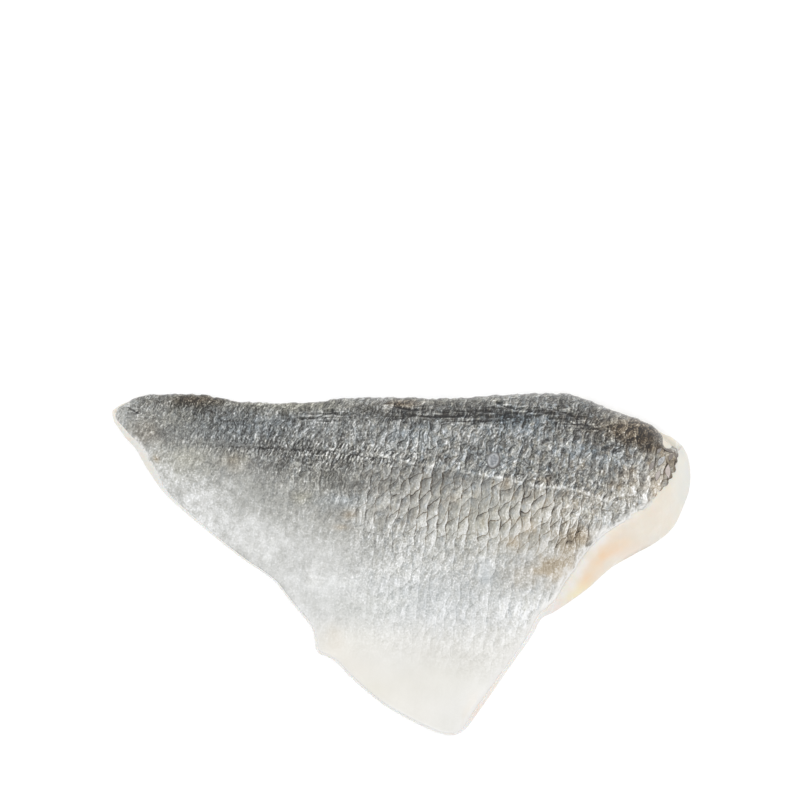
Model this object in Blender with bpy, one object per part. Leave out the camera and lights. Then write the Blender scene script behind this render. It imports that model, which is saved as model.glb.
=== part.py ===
"""A raw gilthead sea bream fillet, skin on, lying with its skin up.

The fillet is the right flank of the fish: a thick loin along the back, thinning to the tail
and to the belly flap. It is two layers. The flesh lies flat on the surface below it and shows
past the skin as a slanting cut behind the head, and as a thin line along the belly and the
tail. The skin covers the rest and wraps down over the back.

Frame: +X from the tail to the head, +Y from the belly to the back, +Z up. The origin is under
the middle of the fillet's box, on the surface that it rests on. Sizes are in millimetres until
the meshes are made.
"""

import math

import bmesh
import bpy
import numpy as np

MM = 0.001

# Driving sizes
LOIN_THICKNESS = 17.5
TAIL_THICKNESS = 6.5
FLAP_THICKNESS = 4.2
TAIL_EDGE_THICKNESS = 3.4
CREST_FROM_BACK = 22.0
LOIN_WIDTH = 70.0
SKIN_THICKNESS = 0.8
SKIN_TO_FLESH = 0.3
SKIN_LIFT_AT_BACK = 1.9

# The flesh's lower rim
CUT_EDGE_HEIGHT = 0.7
BACK_RIM_INSET = 0.8
FOOT_CENTRE = np.array([0.0, 16.0])
FOOT_SCALE = 0.98

# The lateral line, a shallow groove along the flank
LATERAL_GROOVE_DEPTH = 0.35
LATERAL_GROOVE_HALF_WIDTH = 1.2

# How finely the surface is divided
COLUMNS = 52
ROWS_ABOVE_LINE = 8
ROWS_BELOW_LINE = 17
SAMPLES_PER_COLUMN = 240
CUT_SHARES = (0.3, 0.6, 0.85, 1.0)

# The outline seen from above: x, y, and how wide the flesh shows past the skin there
BACK_EDGE = [
    (-90.0, 47.5, 0.7), (-86.5, 50.0, 0.0), (-80.0, 52.6, 0.0), (-72.5, 53.2, 0.0),
    (-61.5, 52.8, 0.0), (-55.5, 51.8, 0.0), (-47.0, 50.6, 0.0), (-32.0, 50.4, 0.0),
    (-16.5, 51.8, 0.0), (2.5, 52.2, 0.0), (10.5, 51.6, 0.0), (30.0, 52.8, 0.0),
    (46.0, 53.4, 0.0), (54.5, 52.6, 0.0), (60.0, 50.5, 0.0), (70.0, 46.6, 0.0),
    (77.0, 44.0, 0.0), (81.3, 40.7, 0.2), (84.2, 39.3, 1.2), (87.6, 36.6, 1.5),
]
HEAD_EDGE = [
    (87.6, 36.6, 1.5), (89.3, 33.2, 3.4), (90.0, 28.5, 5.4), (89.8, 23.5, 7.6),
    (88.3, 18.8, 9.6), (84.8, 11.4, 10.8), (79.5, 6.7, 11.2), (72.5, 2.8, 10.6),
    (65.2, -1.5, 9.2), (58.5, -7.5, 7.2), (52.4, -12.0, 4.4), (47.4, -15.2, 2.2),
    (43.6, -17.3, 1.2), (40.6, -22.8, 0.9), (36.0, -29.2, 0.9), (28.4, -40.1, 1.1),
    (22.0, -49.2, 1.1), (19.4, -52.2, 0.8), (16.6, -53.4, 0.7),
]
BELLY_EDGE = [
    (-75.2, 23.7, 1.4), (-71.4, 19.6, 1.0), (-61.2, 10.9, 0.7), (-50.0, 2.0, 0.6),
    (-40.0, -5.0, 0.6), (-34.4, -11.8, 0.6), (-28.0, -19.6, 0.6), (-26.7, -24.2, 0.7),
    (-25.9, -27.6, 0.7), (-20.8, -30.2, 0.7), (-15.0, -36.0, 0.6), (-5.6, -43.8, 0.6),
    (5.0, -49.8, 0.6), (12.0, -52.8, 0.6), (16.6, -53.4, 0.7),
]
TAIL_EDGE = [
    (-90.0, 47.5, 0.7), (-89.4, 44.6, 1.0), (-87.6, 41.7, 1.6), (-85.4, 38.8, 1.8),
    (-82.6, 35.7, 2.0), (-79.5, 30.3, 1.8), (-75.2, 23.7, 1.4),
]
LATERAL_LINE = [
    (-86.0, 46.0), (-78.2, 44.4), (-64.5, 42.2), (-50.4, 38.0), (-28.3, 34.7),
    (-9.0, 33.2), (11.8, 30.4), (25.8, 27.6), (39.0, 25.6), (53.6, 24.1), (66.2, 18.5),
    (78.0, 12.0),
]

# Folds in the skin beside the cut of the back fin: start, end, how far from the edge, depth
BACK_FOLDS = [(-24.0, 12.0, 3.4, 0.7), (-4.0, 46.0, 5.4, 1.0)]
FOLD_HALF_WIDTH = 1.5
FOLD_RUN_OUT = 14.0

# Underneath: the groove that the backbone leaves, and the hollow of the belly cavity
SPINE_GROOVE_DEPTH = 1.0
SPINE_GROOVE_HALF_WIDTH = 3.0
SPINE_BELOW_LATERAL_LINE = 5.0
CAVITY_DEPTH = 1.2
CAVITY_CENTRE = (33.0, -2.0)
CAVITY_HALF_AXES = (34.0, 14.0)
CAVITY_TURN = math.radians(-38.0)

SKIN_COLOUR = (0.30, 0.31, 0.30, 1.0)
FLESH_COLOUR = (0.83, 0.76, 0.66, 1.0)


def clear_scene():
    for obj in list(bpy.data.objects):
        bpy.data.objects.remove(obj, do_unlink=True)


def smooth_step(value, low, high):
    share = np.clip((value - low) / (high - low), 0.0, 1.0)
    return share * share * (3.0 - 2.0 * share)


def lengths_along(points):
    """How far along a run of points each of them lies."""
    steps = np.linalg.norm(np.diff(points, axis=0), axis=1)
    return np.concatenate([[0.0], np.cumsum(steps)])


def points_at(wanted, along, points):
    """A run of points resampled at the wanted distances."""
    return np.column_stack([np.interp(wanted, along, axis) for axis in points.T])


def curve_through(points, shares):
    """Points of a smooth curve through the given ones, at these shares of its length."""
    points = np.array(points, float)
    padded = np.vstack([2 * points[0] - points[1], points, 2 * points[-1] - points[-2]])
    step = np.linspace(0.0, 1.0, 24, endpoint=False)[:, None]
    fine = []
    for before, start, end, after in zip(padded, padded[1:], padded[2:], padded[3:]):
        slope = (end - before) * step
        bend = (2 * before - 5 * start + 4 * end - after) * step**2
        twist = (3 * start - before - 3 * end + after) * step**3
        fine.append(start + 0.5 * (slope + bend + twist))
    fine = np.vstack([*fine, points[-1:]])
    along = lengths_along(fine[:, :2])
    return points_at(np.asarray(shares) * along[-1], along, fine)


def move_inward(loop, distance):
    """A closed loop, clockwise from above, moved inward with its corners kept."""
    ahead = np.roll(loop, -1, axis=0) - loop
    ahead /= np.linalg.norm(ahead, axis=1)[:, None]
    behind = np.roll(ahead, 1, axis=0)
    both = ahead + behind
    inward = np.column_stack([both[:, 1], -both[:, 0]])
    sharpness = 1 + np.sum(ahead * behind, axis=1)
    return loop + inward * (distance / sharpness)[:, None]


def join_edges(back, head, belly, tail):
    """Four edges as one closed loop: along the back, down the head, back to the tail."""
    return np.vstack([back[:-1], head[:-1], belly[:0:-1], tail[:0:-1]])


def split_edges(loop, columns, rows):
    """The four edges of a closed loop again: back, head, belly and tail."""
    closed = np.vstack([loop, loop[:1]])
    head_end = columns + rows
    belly_end = head_end + columns
    back, head = closed[: columns + 1], closed[columns : head_end + 1]
    belly, tail = closed[head_end : belly_end + 1][::-1], closed[belly_end:][::-1]
    return back, head, belly, tail


def edge_landmarks():
    """The four edges' landmarks: x and y of the flesh, then x and y of the skin over it."""
    edges = [np.array(edge) for edge in (BACK_EDGE, HEAD_EDGE, BELLY_EDGE, TAIL_EDGE)]
    loop = join_edges(*edges)
    both = np.hstack([loop[:, :2], move_inward(loop[:, :2], loop[:, 2])])
    closed = np.vstack([both, both[:1]])
    ends = np.cumsum([0] + [len(edge) - 1 for edge in edges])
    back, head, belly, tail = (closed[a : b + 1] for a, b in zip(ends, ends[1:]))
    return back, head, belly[::-1], tail[::-1]


def patch_between(back, head, belly, tail, head_shares, tail_shares):
    """A grid of plan points that fills four edges, as [column, row]."""
    u = np.linspace(0.0, 1.0, len(back))[:, None, None]
    at_head, at_tail = head_shares[:, None], tail_shares[:, None]
    v = (1 - u) * at_tail + u * at_head
    head_bulge = head - (1 - at_head) * back[-1] - at_head * belly[-1]
    tail_bulge = tail - (1 - at_tail) * back[0] - at_tail * belly[0]
    return (1 - v) * back[:, None] + v * belly[:, None] + (1 - u) * tail_bulge + u * head_bulge


def lateral_line_y(x):
    line = curve_through(LATERAL_LINE, np.linspace(0, 1, 120))
    return np.interp(x, line[:, 0], line[:, 1])


def fold_depth(x, from_back):
    """How far the folds beside the back fin's cut lower the skin."""
    depth = np.zeros_like(from_back)
    for start, end, middle, deep in BACK_FOLDS:
        begins = smooth_step(x, start, start + FOLD_RUN_OUT)
        ends = 1 - smooth_step(x, end - FOLD_RUN_OUT, end)
        wander = middle + 0.9 * np.sin(x / 6.5)
        across = (from_back - wander) / FOLD_HALF_WIDTH
        depth += deep * begins * ends * np.exp(-(across**2))
    return depth


def gentle_waves(x, y):
    """The slight unevenness of soft flesh."""
    broad = 0.30 * np.sin(x / 11.0 + 0.8) * np.cos(y / 14.0)
    return broad + 0.18 * np.sin(x / 5.2 - y / 7.5) + 0.14 * np.cos(y / 4.6 + x / 19.0)


def skin_height(plan):
    """Height of the skin's outer face over each plan point: a thick loin, then the flap."""
    steps = np.linalg.norm(np.diff(plan, axis=1), axis=2)
    from_back = np.concatenate([np.zeros((len(plan), 1)), np.cumsum(steps, axis=1)], axis=1)
    width = from_back[:, -1:]
    u = np.linspace(0.0, 1.0, len(plan))[:, None]
    loin = TAIL_THICKNESS + (LOIN_THICKNESS - TAIL_THICKNESS) * smooth_step(u, -0.12, 0.85)
    edge = TAIL_EDGE_THICKNESS + (FLAP_THICKNESS - TAIL_EDGE_THICKNESS) * smooth_step(u, 0, 0.6)
    crest = np.minimum(0.42 * width, CREST_FROM_BACK)
    loin_end = np.minimum(width, LOIN_WIDTH)
    rise = np.clip(from_back / crest, 0.0, 1.0)
    up_the_back = SKIN_LIFT_AT_BACK + (loin - SKIN_LIFT_AT_BACK) * np.sqrt(1 - (1 - rise) ** 2)
    fall = np.clip((from_back - crest) / (loin_end - crest), 0.0, 1.0)
    down_the_flank = edge + (loin - edge) * (0.5 + 0.5 * np.cos(math.pi * fall**1.25))
    height = np.where(from_back < crest, up_the_back, down_the_flank)
    x, y = plan[..., 0], plan[..., 1]
    calm = smooth_step(from_back, 0.0, 8.0) * smooth_step(width - from_back, 0.0, 5.0)
    height += gentle_waves(x, y) * calm
    height -= fold_depth(x, from_back)
    from_line = (y - lateral_line_y(x)) / LATERAL_GROOVE_HALF_WIDTH
    height -= LATERAL_GROOVE_DEPTH * np.exp(-(from_line**2)) * calm
    return height


def rows_of(column, line_index):
    """One column's points, spaced evenly from the back to the lateral line and on below it."""
    along = lengths_along(column[:, :3])
    above = np.linspace(0.0, along[line_index], ROWS_ABOVE_LINE + 1)
    below = np.linspace(along[line_index], along[-1], ROWS_BELOW_LINE + 1)
    return points_at(np.concatenate([above, below[1:]]), along, column)


def skin_grid():
    """The skin's outer face as [column, row]: x, y, z and how far down its column it lies."""
    down_column = np.linspace(0, 1, SAMPLES_PER_COLUMN + 1)
    column_shares = np.linspace(0, 1, COLUMNS + 1)
    back, head, belly, tail = edge_landmarks()
    plan = patch_between(
        curve_through(back, column_shares)[:, 2:],
        curve_through(head, down_column)[:, 2:],
        curve_through(belly, column_shares)[:, 2:],
        curve_through(tail, down_column)[:, 2:],
        down_column,
        down_column,
    )
    shares = np.broadcast_to(down_column, plan.shape[:2])
    surface = np.dstack([plan, skin_height(plan), shares])
    line_index = np.argmax(plan[..., 1] < lateral_line_y(plan[..., 0]), axis=1)
    line_index = np.clip(line_index, SAMPLES_PER_COLUMN // 8, SAMPLES_PER_COLUMN // 2)
    return np.array([rows_of(column, index) for column, index in zip(surface, line_index)])


def make_material(name, colour, roughness):
    material = bpy.data.materials.new(name)
    material.use_nodes = True
    shader = material.node_tree.nodes["Principled BSDF"]
    shader.inputs["Base Color"].default_value = colour
    shader.inputs["Roughness"].default_value = roughness
    shader.inputs["Metallic"].default_value = 0.0
    return material


def add_object(name, shape, material):
    mesh = bpy.data.meshes.new(name)
    shape.to_mesh(mesh)
    shape.free()
    mesh.materials.append(material)
    mesh.shade_smooth()
    mesh.set_sharp_from_angle(angle=math.radians(50))
    obj = bpy.data.objects.new(name, mesh)
    bpy.context.collection.objects.link(obj)
    return obj


def sheet_of(grid):
    """A mesh over a grid of points, its faces looking up, and its vertices by [column][row]."""
    sheet = bmesh.new()
    verts = [[sheet.verts.new(point[:3] * MM) for point in column] for column in grid]
    for near, far in zip(verts, verts[1:]):
        for j in range(len(near) - 1):
            sheet.faces.new((near[j], near[j + 1], far[j + 1], far[j]))
    sheet.normal_update()
    return sheet, verts


def border_of(verts):
    """The vertices around a grid, in the order of join_edges."""
    back, head = [column[0] for column in verts[:-1]], verts[-1][:-1]
    belly, tail = [column[-1] for column in verts[:0:-1]], verts[0][:0:-1]
    return back + head + belly + tail


def make_skin(grid):
    """The skin: its outer face, thickened inwards."""
    sheet, _ = sheet_of(grid)
    skin = add_object("skin", sheet, make_material("silver_skin", SKIN_COLOUR, 0.35))
    thicken = skin.modifiers.new("thickness", "SOLIDIFY")
    thicken.thickness = SKIN_THICKNESS * MM
    thicken.offset = -1.0


def rim_loops(top_loop, grid):
    """Loops from the flesh's top edge, down the cut, to the foot of the flat underside."""
    back, head, belly, tail = edge_landmarks()
    column_shares = np.linspace(0, 1, COLUMNS + 1)
    outer = join_edges(
        curve_through(back, column_shares)[:, :2],
        curve_through(head, grid[-1, :, 3])[:, :2],
        curve_through(belly, column_shares)[:, :2],
        curve_through(tail, grid[0, :, 3])[:, :2],
    )
    fade = smooth_step(column_shares, 0.0, 0.06) * (1 - smooth_step(column_shares, 0.9, 0.98))
    outer[: COLUMNS + 1, 1] -= BACK_RIM_INSET * fade
    top_plan, top_height = top_loop[:, :2], top_loop[:, 2:]
    reach = np.linalg.norm(outer - top_plan, axis=1)[:, None]
    fullness = 0.6 + 0.9 * smooth_step(reach, 2.0, 6.0)
    loops = []
    for share in CUT_SHARES:
        plan = top_plan + (outer - top_plan) * share
        height = top_height + (CUT_EDGE_HEIGHT - top_height) * share**fullness
        loops.append(np.hstack([plan, height]))
    return loops


def underside(outer, grid):
    """The underside's grid: flat, but for the backbone's groove and the cavity's hollow."""
    edges = split_edges(outer[:, :2], COLUMNS, grid.shape[1] - 1)
    plan = patch_between(*edges, grid[-1, :, 3], grid[0, :, 3])
    plan = FOOT_CENTRE + (plan - FOOT_CENTRE) * FOOT_SCALE
    x, y = plan[..., 0], plan[..., 1]
    groove_y = lateral_line_y(x) - SPINE_BELOW_LATERAL_LINE
    groove = np.exp(-(((y - groove_y) / SPINE_GROOVE_HALF_WIDTH) ** 2))
    groove *= smooth_step(x, -70.0, -40.0) * (1 - smooth_step(x, 62.0, 76.0))
    east, north = x - CAVITY_CENTRE[0], y - CAVITY_CENTRE[1]
    cosine, sine = math.cos(CAVITY_TURN), math.sin(CAVITY_TURN)
    along = (east * cosine + north * sine) / CAVITY_HALF_AXES[0]
    across = (north * cosine - east * sine) / CAVITY_HALF_AXES[1]
    hollow = 1 - smooth_step(np.hypot(along, across), 0.5, 1.0)
    lift = np.maximum(SPINE_GROOVE_DEPTH * groove, CAVITY_DEPTH * hollow)
    lift[lift < 0.05] = 0.0
    lift[[0, -1], :] = lift[:, [0, -1]] = 0.0
    return np.dstack([plan, lift])


def make_flesh(grid):
    """The flesh: the skin's face lowered, the cut sides and the underside, in one closed body."""
    body, top = sheet_of(grid)
    normals = [[vert.normal.copy() for vert in column] for column in top]
    for column, directions in zip(top, normals):
        for vert, direction in zip(column, directions):
            vert.co -= direction * (SKIN_THICKNESS + SKIN_TO_FLESH) * MM
    ring = border_of(top)
    loops = rim_loops(np.array([vert.co[:] for vert in ring]) / MM, grid)
    bottom = [[body.verts.new(point * MM) for point in column] for column in underside(loops[-1], grid)]
    rings = [[body.verts.new(point * MM) for point in loop] for loop in loops]
    for lower in rings + [border_of(bottom)]:
        for k, vert in enumerate(ring):
            after = (k + 1) % len(ring)
            body.faces.new((vert, ring[after], lower[after], lower[k]))
        ring = lower
    for near, far in zip(bottom, bottom[1:]):
        for j in range(len(near) - 1):
            body.faces.new((near[j], far[j], far[j + 1], near[j + 1]))
    bmesh.ops.recalc_face_normals(body, faces=body.faces)
    add_object("flesh", body, make_material("raw_white_flesh", FLESH_COLOUR, 0.45))


def main():
    clear_scene()
    grid = skin_grid()
    make_skin(grid)
    make_flesh(grid)


main()
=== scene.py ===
# %% [markdown]
# # A raw sea bream fillet, lying with its skin up
#
# A plain model of the fillet is already made: its size and main shape are right, and it has no
# looks. In this lesson two new pieces take the place of the two plain ones, the skin and the
# flesh. They keep the plain model's outline and thickness, and add what the eye expects of fish:
# pockets where the scales sat, a ragged cut, wet gloss and a soft, faintly see-through flesh.

# %% Load the plain model
import math

import bpy
import numpy as np
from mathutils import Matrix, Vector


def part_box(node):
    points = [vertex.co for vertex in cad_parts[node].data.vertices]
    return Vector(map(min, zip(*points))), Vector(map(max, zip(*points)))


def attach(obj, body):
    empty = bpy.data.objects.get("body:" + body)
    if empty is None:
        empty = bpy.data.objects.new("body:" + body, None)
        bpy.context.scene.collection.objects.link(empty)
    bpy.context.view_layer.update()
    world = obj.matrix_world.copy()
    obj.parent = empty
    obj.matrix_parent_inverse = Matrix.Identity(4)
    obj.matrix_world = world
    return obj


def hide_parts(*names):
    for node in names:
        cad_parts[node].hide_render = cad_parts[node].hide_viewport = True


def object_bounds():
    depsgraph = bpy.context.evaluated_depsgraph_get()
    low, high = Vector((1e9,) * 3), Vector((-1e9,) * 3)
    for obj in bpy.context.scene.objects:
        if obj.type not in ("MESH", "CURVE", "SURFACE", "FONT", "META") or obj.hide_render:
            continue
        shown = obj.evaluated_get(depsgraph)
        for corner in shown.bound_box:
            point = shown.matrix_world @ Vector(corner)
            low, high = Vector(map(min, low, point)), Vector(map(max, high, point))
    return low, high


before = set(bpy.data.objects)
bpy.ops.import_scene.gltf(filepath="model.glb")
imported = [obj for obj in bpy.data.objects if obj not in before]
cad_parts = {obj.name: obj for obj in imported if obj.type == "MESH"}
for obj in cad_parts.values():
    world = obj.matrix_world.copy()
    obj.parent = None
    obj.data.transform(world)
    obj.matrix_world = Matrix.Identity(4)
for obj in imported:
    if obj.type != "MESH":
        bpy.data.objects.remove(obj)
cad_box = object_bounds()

MM = 0.001
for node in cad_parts:
    low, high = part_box(node)
    print(node, "measures", [round(side / MM, 1) for side in high - low], "mm")

# %% [markdown]
# ## The outline
#
# A fillet is cut by hand, so no arc or straight line describes it. Its outline is a row of
# landmarks, in millimetres from the middle of the fillet: +x to the head and +y to the back.
# The third number says how wide the flesh shows past the skin there. A smooth curve is then
# drawn through the landmarks, as with a flexible ruler.

# %% Landmarks of the four edges
BACK_EDGE = [
    (-90, 47.5, 0.7), (-86.5, 50, 0), (-80, 52.6, 0), (-72.5, 53.2, 0), (-61.5, 52.8, 0),
    (-55.5, 51.8, 0), (-47, 50.6, 0), (-32, 50.4, 0), (-16.5, 51.8, 0), (2.5, 52.2, 0),
    (10.5, 51.6, 0), (30, 52.8, 0), (46, 53.4, 0), (54.5, 52.6, 0), (60, 50.5, 0), (70, 46.6, 0),
    (77, 44, 0), (81.3, 40.7, 0.2), (84.2, 39.3, 1.2), (87.6, 36.6, 1.5),
]
HEAD_EDGE = [
    (87.6, 36.6, 1.5), (89.3, 33.2, 3.4), (90, 28.5, 5.4), (89.8, 23.5, 7.6), (88.3, 18.8, 9.6),
    (84.8, 11.4, 10.8), (79.5, 6.7, 11.2), (72.5, 2.8, 10.6), (65.2, -1.5, 9.2), (58.5, -7.5, 7.2),
    (52.4, -12, 4.4), (47.4, -15.2, 2.2), (43.6, -17.3, 1.2), (40.6, -22.8, 0.9), (36, -29.2, 0.9),
    (28.4, -40.1, 1.1), (22, -49.2, 1.1), (19.4, -52.2, 0.8), (16.6, -53.4, 0.7),
]
BELLY_EDGE = [
    (-75.2, 23.7, 1.4), (-71.4, 19.6, 1), (-61.2, 10.9, 0.7), (-50, 2, 0.6), (-40, -5, 0.6),
    (-34.4, -11.8, 0.6), (-28, -19.6, 0.6), (-26.7, -24.2, 0.7), (-25.9, -27.6, 0.7),
    (-20.8, -30.2, 0.7), (-15, -36, 0.6), (-5.6, -43.8, 0.6), (5, -49.8, 0.6), (12, -52.8, 0.6),
    (16.6, -53.4, 0.7),
]
TAIL_EDGE = [
    (-90, 47.5, 0.7), (-89.4, 44.6, 1), (-87.6, 41.7, 1.6), (-85.4, 38.8, 1.8), (-82.6, 35.7, 2),
    (-79.5, 30.3, 1.8), (-75.2, 23.7, 1.4),
]
print("landmarks:", len(BACK_EDGE) + len(HEAD_EDGE) + len(BELLY_EDGE) + len(TAIL_EDGE))


# %% Curves through landmarks
def smooth_step(value, low, high):
    """0 below low, 1 above high, and a soft rise between them."""
    share = np.clip((value - low) / (high - low), 0.0, 1.0)
    return share * share * (3.0 - 2.0 * share)


def lengths_along(points, axis=0):
    """How far each point lies along its run, or along one axis of a grid."""
    steps = np.linalg.norm(np.diff(points, axis=axis), axis=-1)
    start = np.zeros_like(steps.take([0], axis=axis))
    return np.concatenate([start, np.cumsum(steps, axis=axis)], axis=axis)


def points_at(wanted, along, points):
    """A run of points resampled at the wanted distances."""
    return np.column_stack([np.interp(wanted, along, axis) for axis in points.T])


def curve_through(points, shares):
    """Points of a smooth curve through the given ones, at these shares of its length."""
    points = np.array(points, float)
    padded = np.vstack([2 * points[0] - points[1], points, 2 * points[-1] - points[-2]])
    step = np.linspace(0.0, 1.0, 24, endpoint=False)[:, None]
    fine = []
    for before, start, end, after in zip(padded, padded[1:], padded[2:], padded[3:]):
        slope = (end - before) * step
        bend = (2 * before - 5 * start + 4 * end - after) * step**2
        twist = (3 * start - before - 3 * end + after) * step**3
        fine.append(start + 0.5 * (slope + bend + twist))
    fine = np.vstack([*fine, points[-1:]])
    along = lengths_along(fine[:, :2])
    return points_at(np.asarray(shares) * along[-1], along, fine)


def move_inward(loop, distance):
    """A closed loop, clockwise from above, moved inward with its corners kept."""
    ahead = np.roll(loop, -1, axis=0) - loop
    ahead /= np.linalg.norm(ahead, axis=1)[:, None]
    behind = np.roll(ahead, 1, axis=0)
    both = ahead + behind
    inward = np.column_stack([both[:, 1], -both[:, 0]])
    sharpness = 1 + np.sum(ahead * behind, axis=1)
    return loop + inward * (distance / sharpness)[:, None]


def join_edges(back, head, belly, tail):
    """Four edges as one closed loop: along the back, down the head, back to the tail."""
    return np.vstack([back[:-1], head[:-1], belly[:0:-1], tail[:0:-1]])


def edge_landmarks():
    """The four edges' landmarks: x and y of the flesh, then x and y of the skin over it."""
    edges = [np.array(edge) for edge in (BACK_EDGE, HEAD_EDGE, BELLY_EDGE, TAIL_EDGE)]
    loop = join_edges(*edges)
    both = np.hstack([loop[:, :2], move_inward(loop[:, :2], loop[:, 2])])
    closed = np.vstack([both, both[:1]])
    ends = np.cumsum([0] + [len(edge) - 1 for edge in edges])
    back, head, belly, tail = (closed[a : b + 1] for a, b in zip(ends, ends[1:]))
    return back, head, belly[::-1], tail[::-1]


LANDMARKS = edge_landmarks()
print("the back edge is", round(lengths_along(LANDMARKS[0][:, :2])[-1], 1), "mm long")

# %% [markdown]
# ## The skin's surface
#
# Seen from above, the skin fills the space between four curved edges. A grid stretched between
# them follows every edge, which a square grid that is cut to shape would not. Its height comes
# from a fish's cross-section: a steep rounded back, a thick loin, and a long fall to the belly.
# The lateral line is the sense organ that runs down each side of a fish.


# %% The surface between the edges
LOIN_THICKNESS = 17.5
TAIL_THICKNESS = 6.5
FLAP_THICKNESS = 4.2
TAIL_EDGE_THICKNESS = 3.4
CREST_FROM_BACK = 22.0
LOIN_WIDTH = 70.0
SKIN_LIFT_AT_BACK = 1.9
FINE_SAMPLES = 320
DENSE_AT_BACK = 0.45
LATERAL_LINE = [
    (-86, 44.6), (-78.2, 42.4), (-68.8, 40), (-61.7, 38.1), (-51.4, 37.2), (-40.5, 36.7),
    (-31.5, 36.2), (-22.1, 35.8), (-12.8, 34.4), (-5.3, 33.5), (-0.3, 32.3), (7.5, 30.7),
    (16, 29.7), (22, 28.1), (30, 27), (39, 25), (45.2, 23.9), (51.6, 23.6), (58.1, 21.7),
    (63.5, 19.8), (70, 16.6), (78, 12),
]


def lateral_line_y(x):
    """Where the lateral line is at each x."""
    line = curve_through(LATERAL_LINE, np.linspace(0, 1, 160))
    return np.interp(x, line[:, 0], line[:, 1])


def patch_between(back, head, belly, tail, head_shares, tail_shares):
    """A grid of plan points that fills four edges, as [column, row]."""
    u = np.linspace(0.0, 1.0, len(back))[:, None, None]
    at_head, at_tail = head_shares[:, None], tail_shares[:, None]
    v = (1 - u) * at_tail + u * at_head
    head_bulge = head - (1 - at_head) * back[-1] - at_head * belly[-1]
    tail_bulge = tail - (1 - at_tail) * back[0] - at_tail * belly[0]
    return (1 - v) * back[:, None] + v * belly[:, None] + (1 - u) * tail_bulge + u * head_bulge


def gentle_waves(x, y):
    """The slight unevenness of soft flesh."""
    broad = 0.30 * np.sin(x / 11.0 + 0.8) * np.cos(y / 14.0)
    return broad + 0.18 * np.sin(x / 5.2 - y / 7.5) + 0.14 * np.cos(y / 4.6 + x / 19.0)


def skin_height(plan, from_back):
    """Height over each plan point: a thick loin, then the thin flap."""
    width = from_back[:, -1:]
    u = np.linspace(0.0, 1.0, len(plan))[:, None]
    loin = TAIL_THICKNESS + (LOIN_THICKNESS - TAIL_THICKNESS) * smooth_step(u, -0.12, 0.85)
    edge = TAIL_EDGE_THICKNESS + (FLAP_THICKNESS - TAIL_EDGE_THICKNESS) * smooth_step(u, 0, 0.6)
    crest = np.minimum(0.42 * width, CREST_FROM_BACK)
    loin_end = np.minimum(width, LOIN_WIDTH)
    rise = np.clip(from_back / crest, 0.0, 1.0)
    up_the_back = SKIN_LIFT_AT_BACK + (loin - SKIN_LIFT_AT_BACK) * np.sqrt(1 - (1 - rise) ** 2)
    fall = np.clip((from_back - crest) / (loin_end - crest), 0.0, 1.0)
    down_the_flank = edge + (loin - edge) * (0.5 + 0.5 * np.cos(math.pi * fall**1.25))
    height = np.where(from_back < crest, up_the_back, down_the_flank)
    calm = smooth_step(from_back, 0.0, 8.0) * smooth_step(width - from_back, 0.0, 5.0)
    return height + gentle_waves(plan[..., 0], plan[..., 1]) * calm


def skin_surface(columns, rows):
    """The skin's outer face as [column, row]: x, y, z, share of the column, mm from the back."""
    down = np.linspace(0, 1, FINE_SAMPLES + 1)
    along = np.linspace(0, 1, columns + 1)
    back, head, belly, tail = LANDMARKS
    plan = patch_between(
        curve_through(back, along)[:, 2:],
        curve_through(head, down)[:, 2:],
        curve_through(belly, along)[:, 2:],
        curve_through(tail, down)[:, 2:],
        down,
        down,
    )
    from_back = lengths_along(plan, axis=1)
    shares = np.broadcast_to(down, plan.shape[:2])
    surface = np.dstack([plan, skin_height(plan, from_back), shares, from_back])
    steps = np.linspace(0, 1, rows + 1)
    spread = DENSE_AT_BACK * steps + (1 - DENSE_AT_BACK) * steps**1.8
    even = []
    for column in surface:
        travelled = lengths_along(column[:, :3])
        even.append(points_at(spread * travelled[-1], travelled, column))
    return np.array(even)


SKIN_COLUMNS = 400
SKIN_ROWS = 204
surface = skin_surface(SKIN_COLUMNS, SKIN_ROWS)
print("the skin's highest point is", round(float(surface[..., 2].max()), 2), "mm up")

# %% [markdown]
# ## Where the scales sat
#
# The scales are scraped off before a bream is filleted, and each leaves a small pocket in the
# skin. The pockets stand in columns from back to belly and in rows along the lateral line:
# about 3 by 5 mm on the flank and smaller at the tail. Each point of the skin gets a place in
# this pattern, counted in pockets. The same numbers later shape the surface and drive the
# material, so that relief and colour always meet.

# %% Each point's place in the pattern of scales
COLUMN_PITCH_TAIL = 2.45
COLUMN_PITCH_FLANK = 3.1
ROW_PITCH_TAIL = 3.7
ROW_PITCH_FLANK = 5.0
COLUMN_LEAN_BELOW = 0.12
COLUMN_LEAN_ABOVE = 0.16
POCKET_SLANT = 0.62
POCKET_STEP = 0.10
HIGHLIGHT_DASH_LEAN = 0.20


def soft_noise(x, y, grain, seed):
    """Smooth random values from -1 to 1 that change over about one grain, in millimetres."""
    size = 97
    table = np.random.default_rng(seed).uniform(-1, 1, (size, size))
    i, j = np.floor(x / grain).astype(int), np.floor(y / grain).astype(int)
    across = smooth_step(x / grain - i, 0, 1)
    along = smooth_step(y / grain - j, 0, 1)
    near = table[i % size, j % size] * (1 - along) + table[i % size, (j + 1) % size] * along
    far = table[(i + 1) % size, j % size] * (1 - along)
    far = far + table[(i + 1) % size, (j + 1) % size] * along
    return near * (1 - across) + far * across


def below_along_skin(surface):
    """How far each point is below the lateral line: above it measured over the bent skin."""
    below = lateral_line_y(surface[..., 0]) - surface[..., 1]
    travel = lengths_along(surface[..., :3], axis=1)
    at_line = [np.interp(0.0, *column) for column in zip(below, travel)]
    return np.where(below < 0, np.minimum(travel - np.array(at_line)[:, None], below), below)


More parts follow.
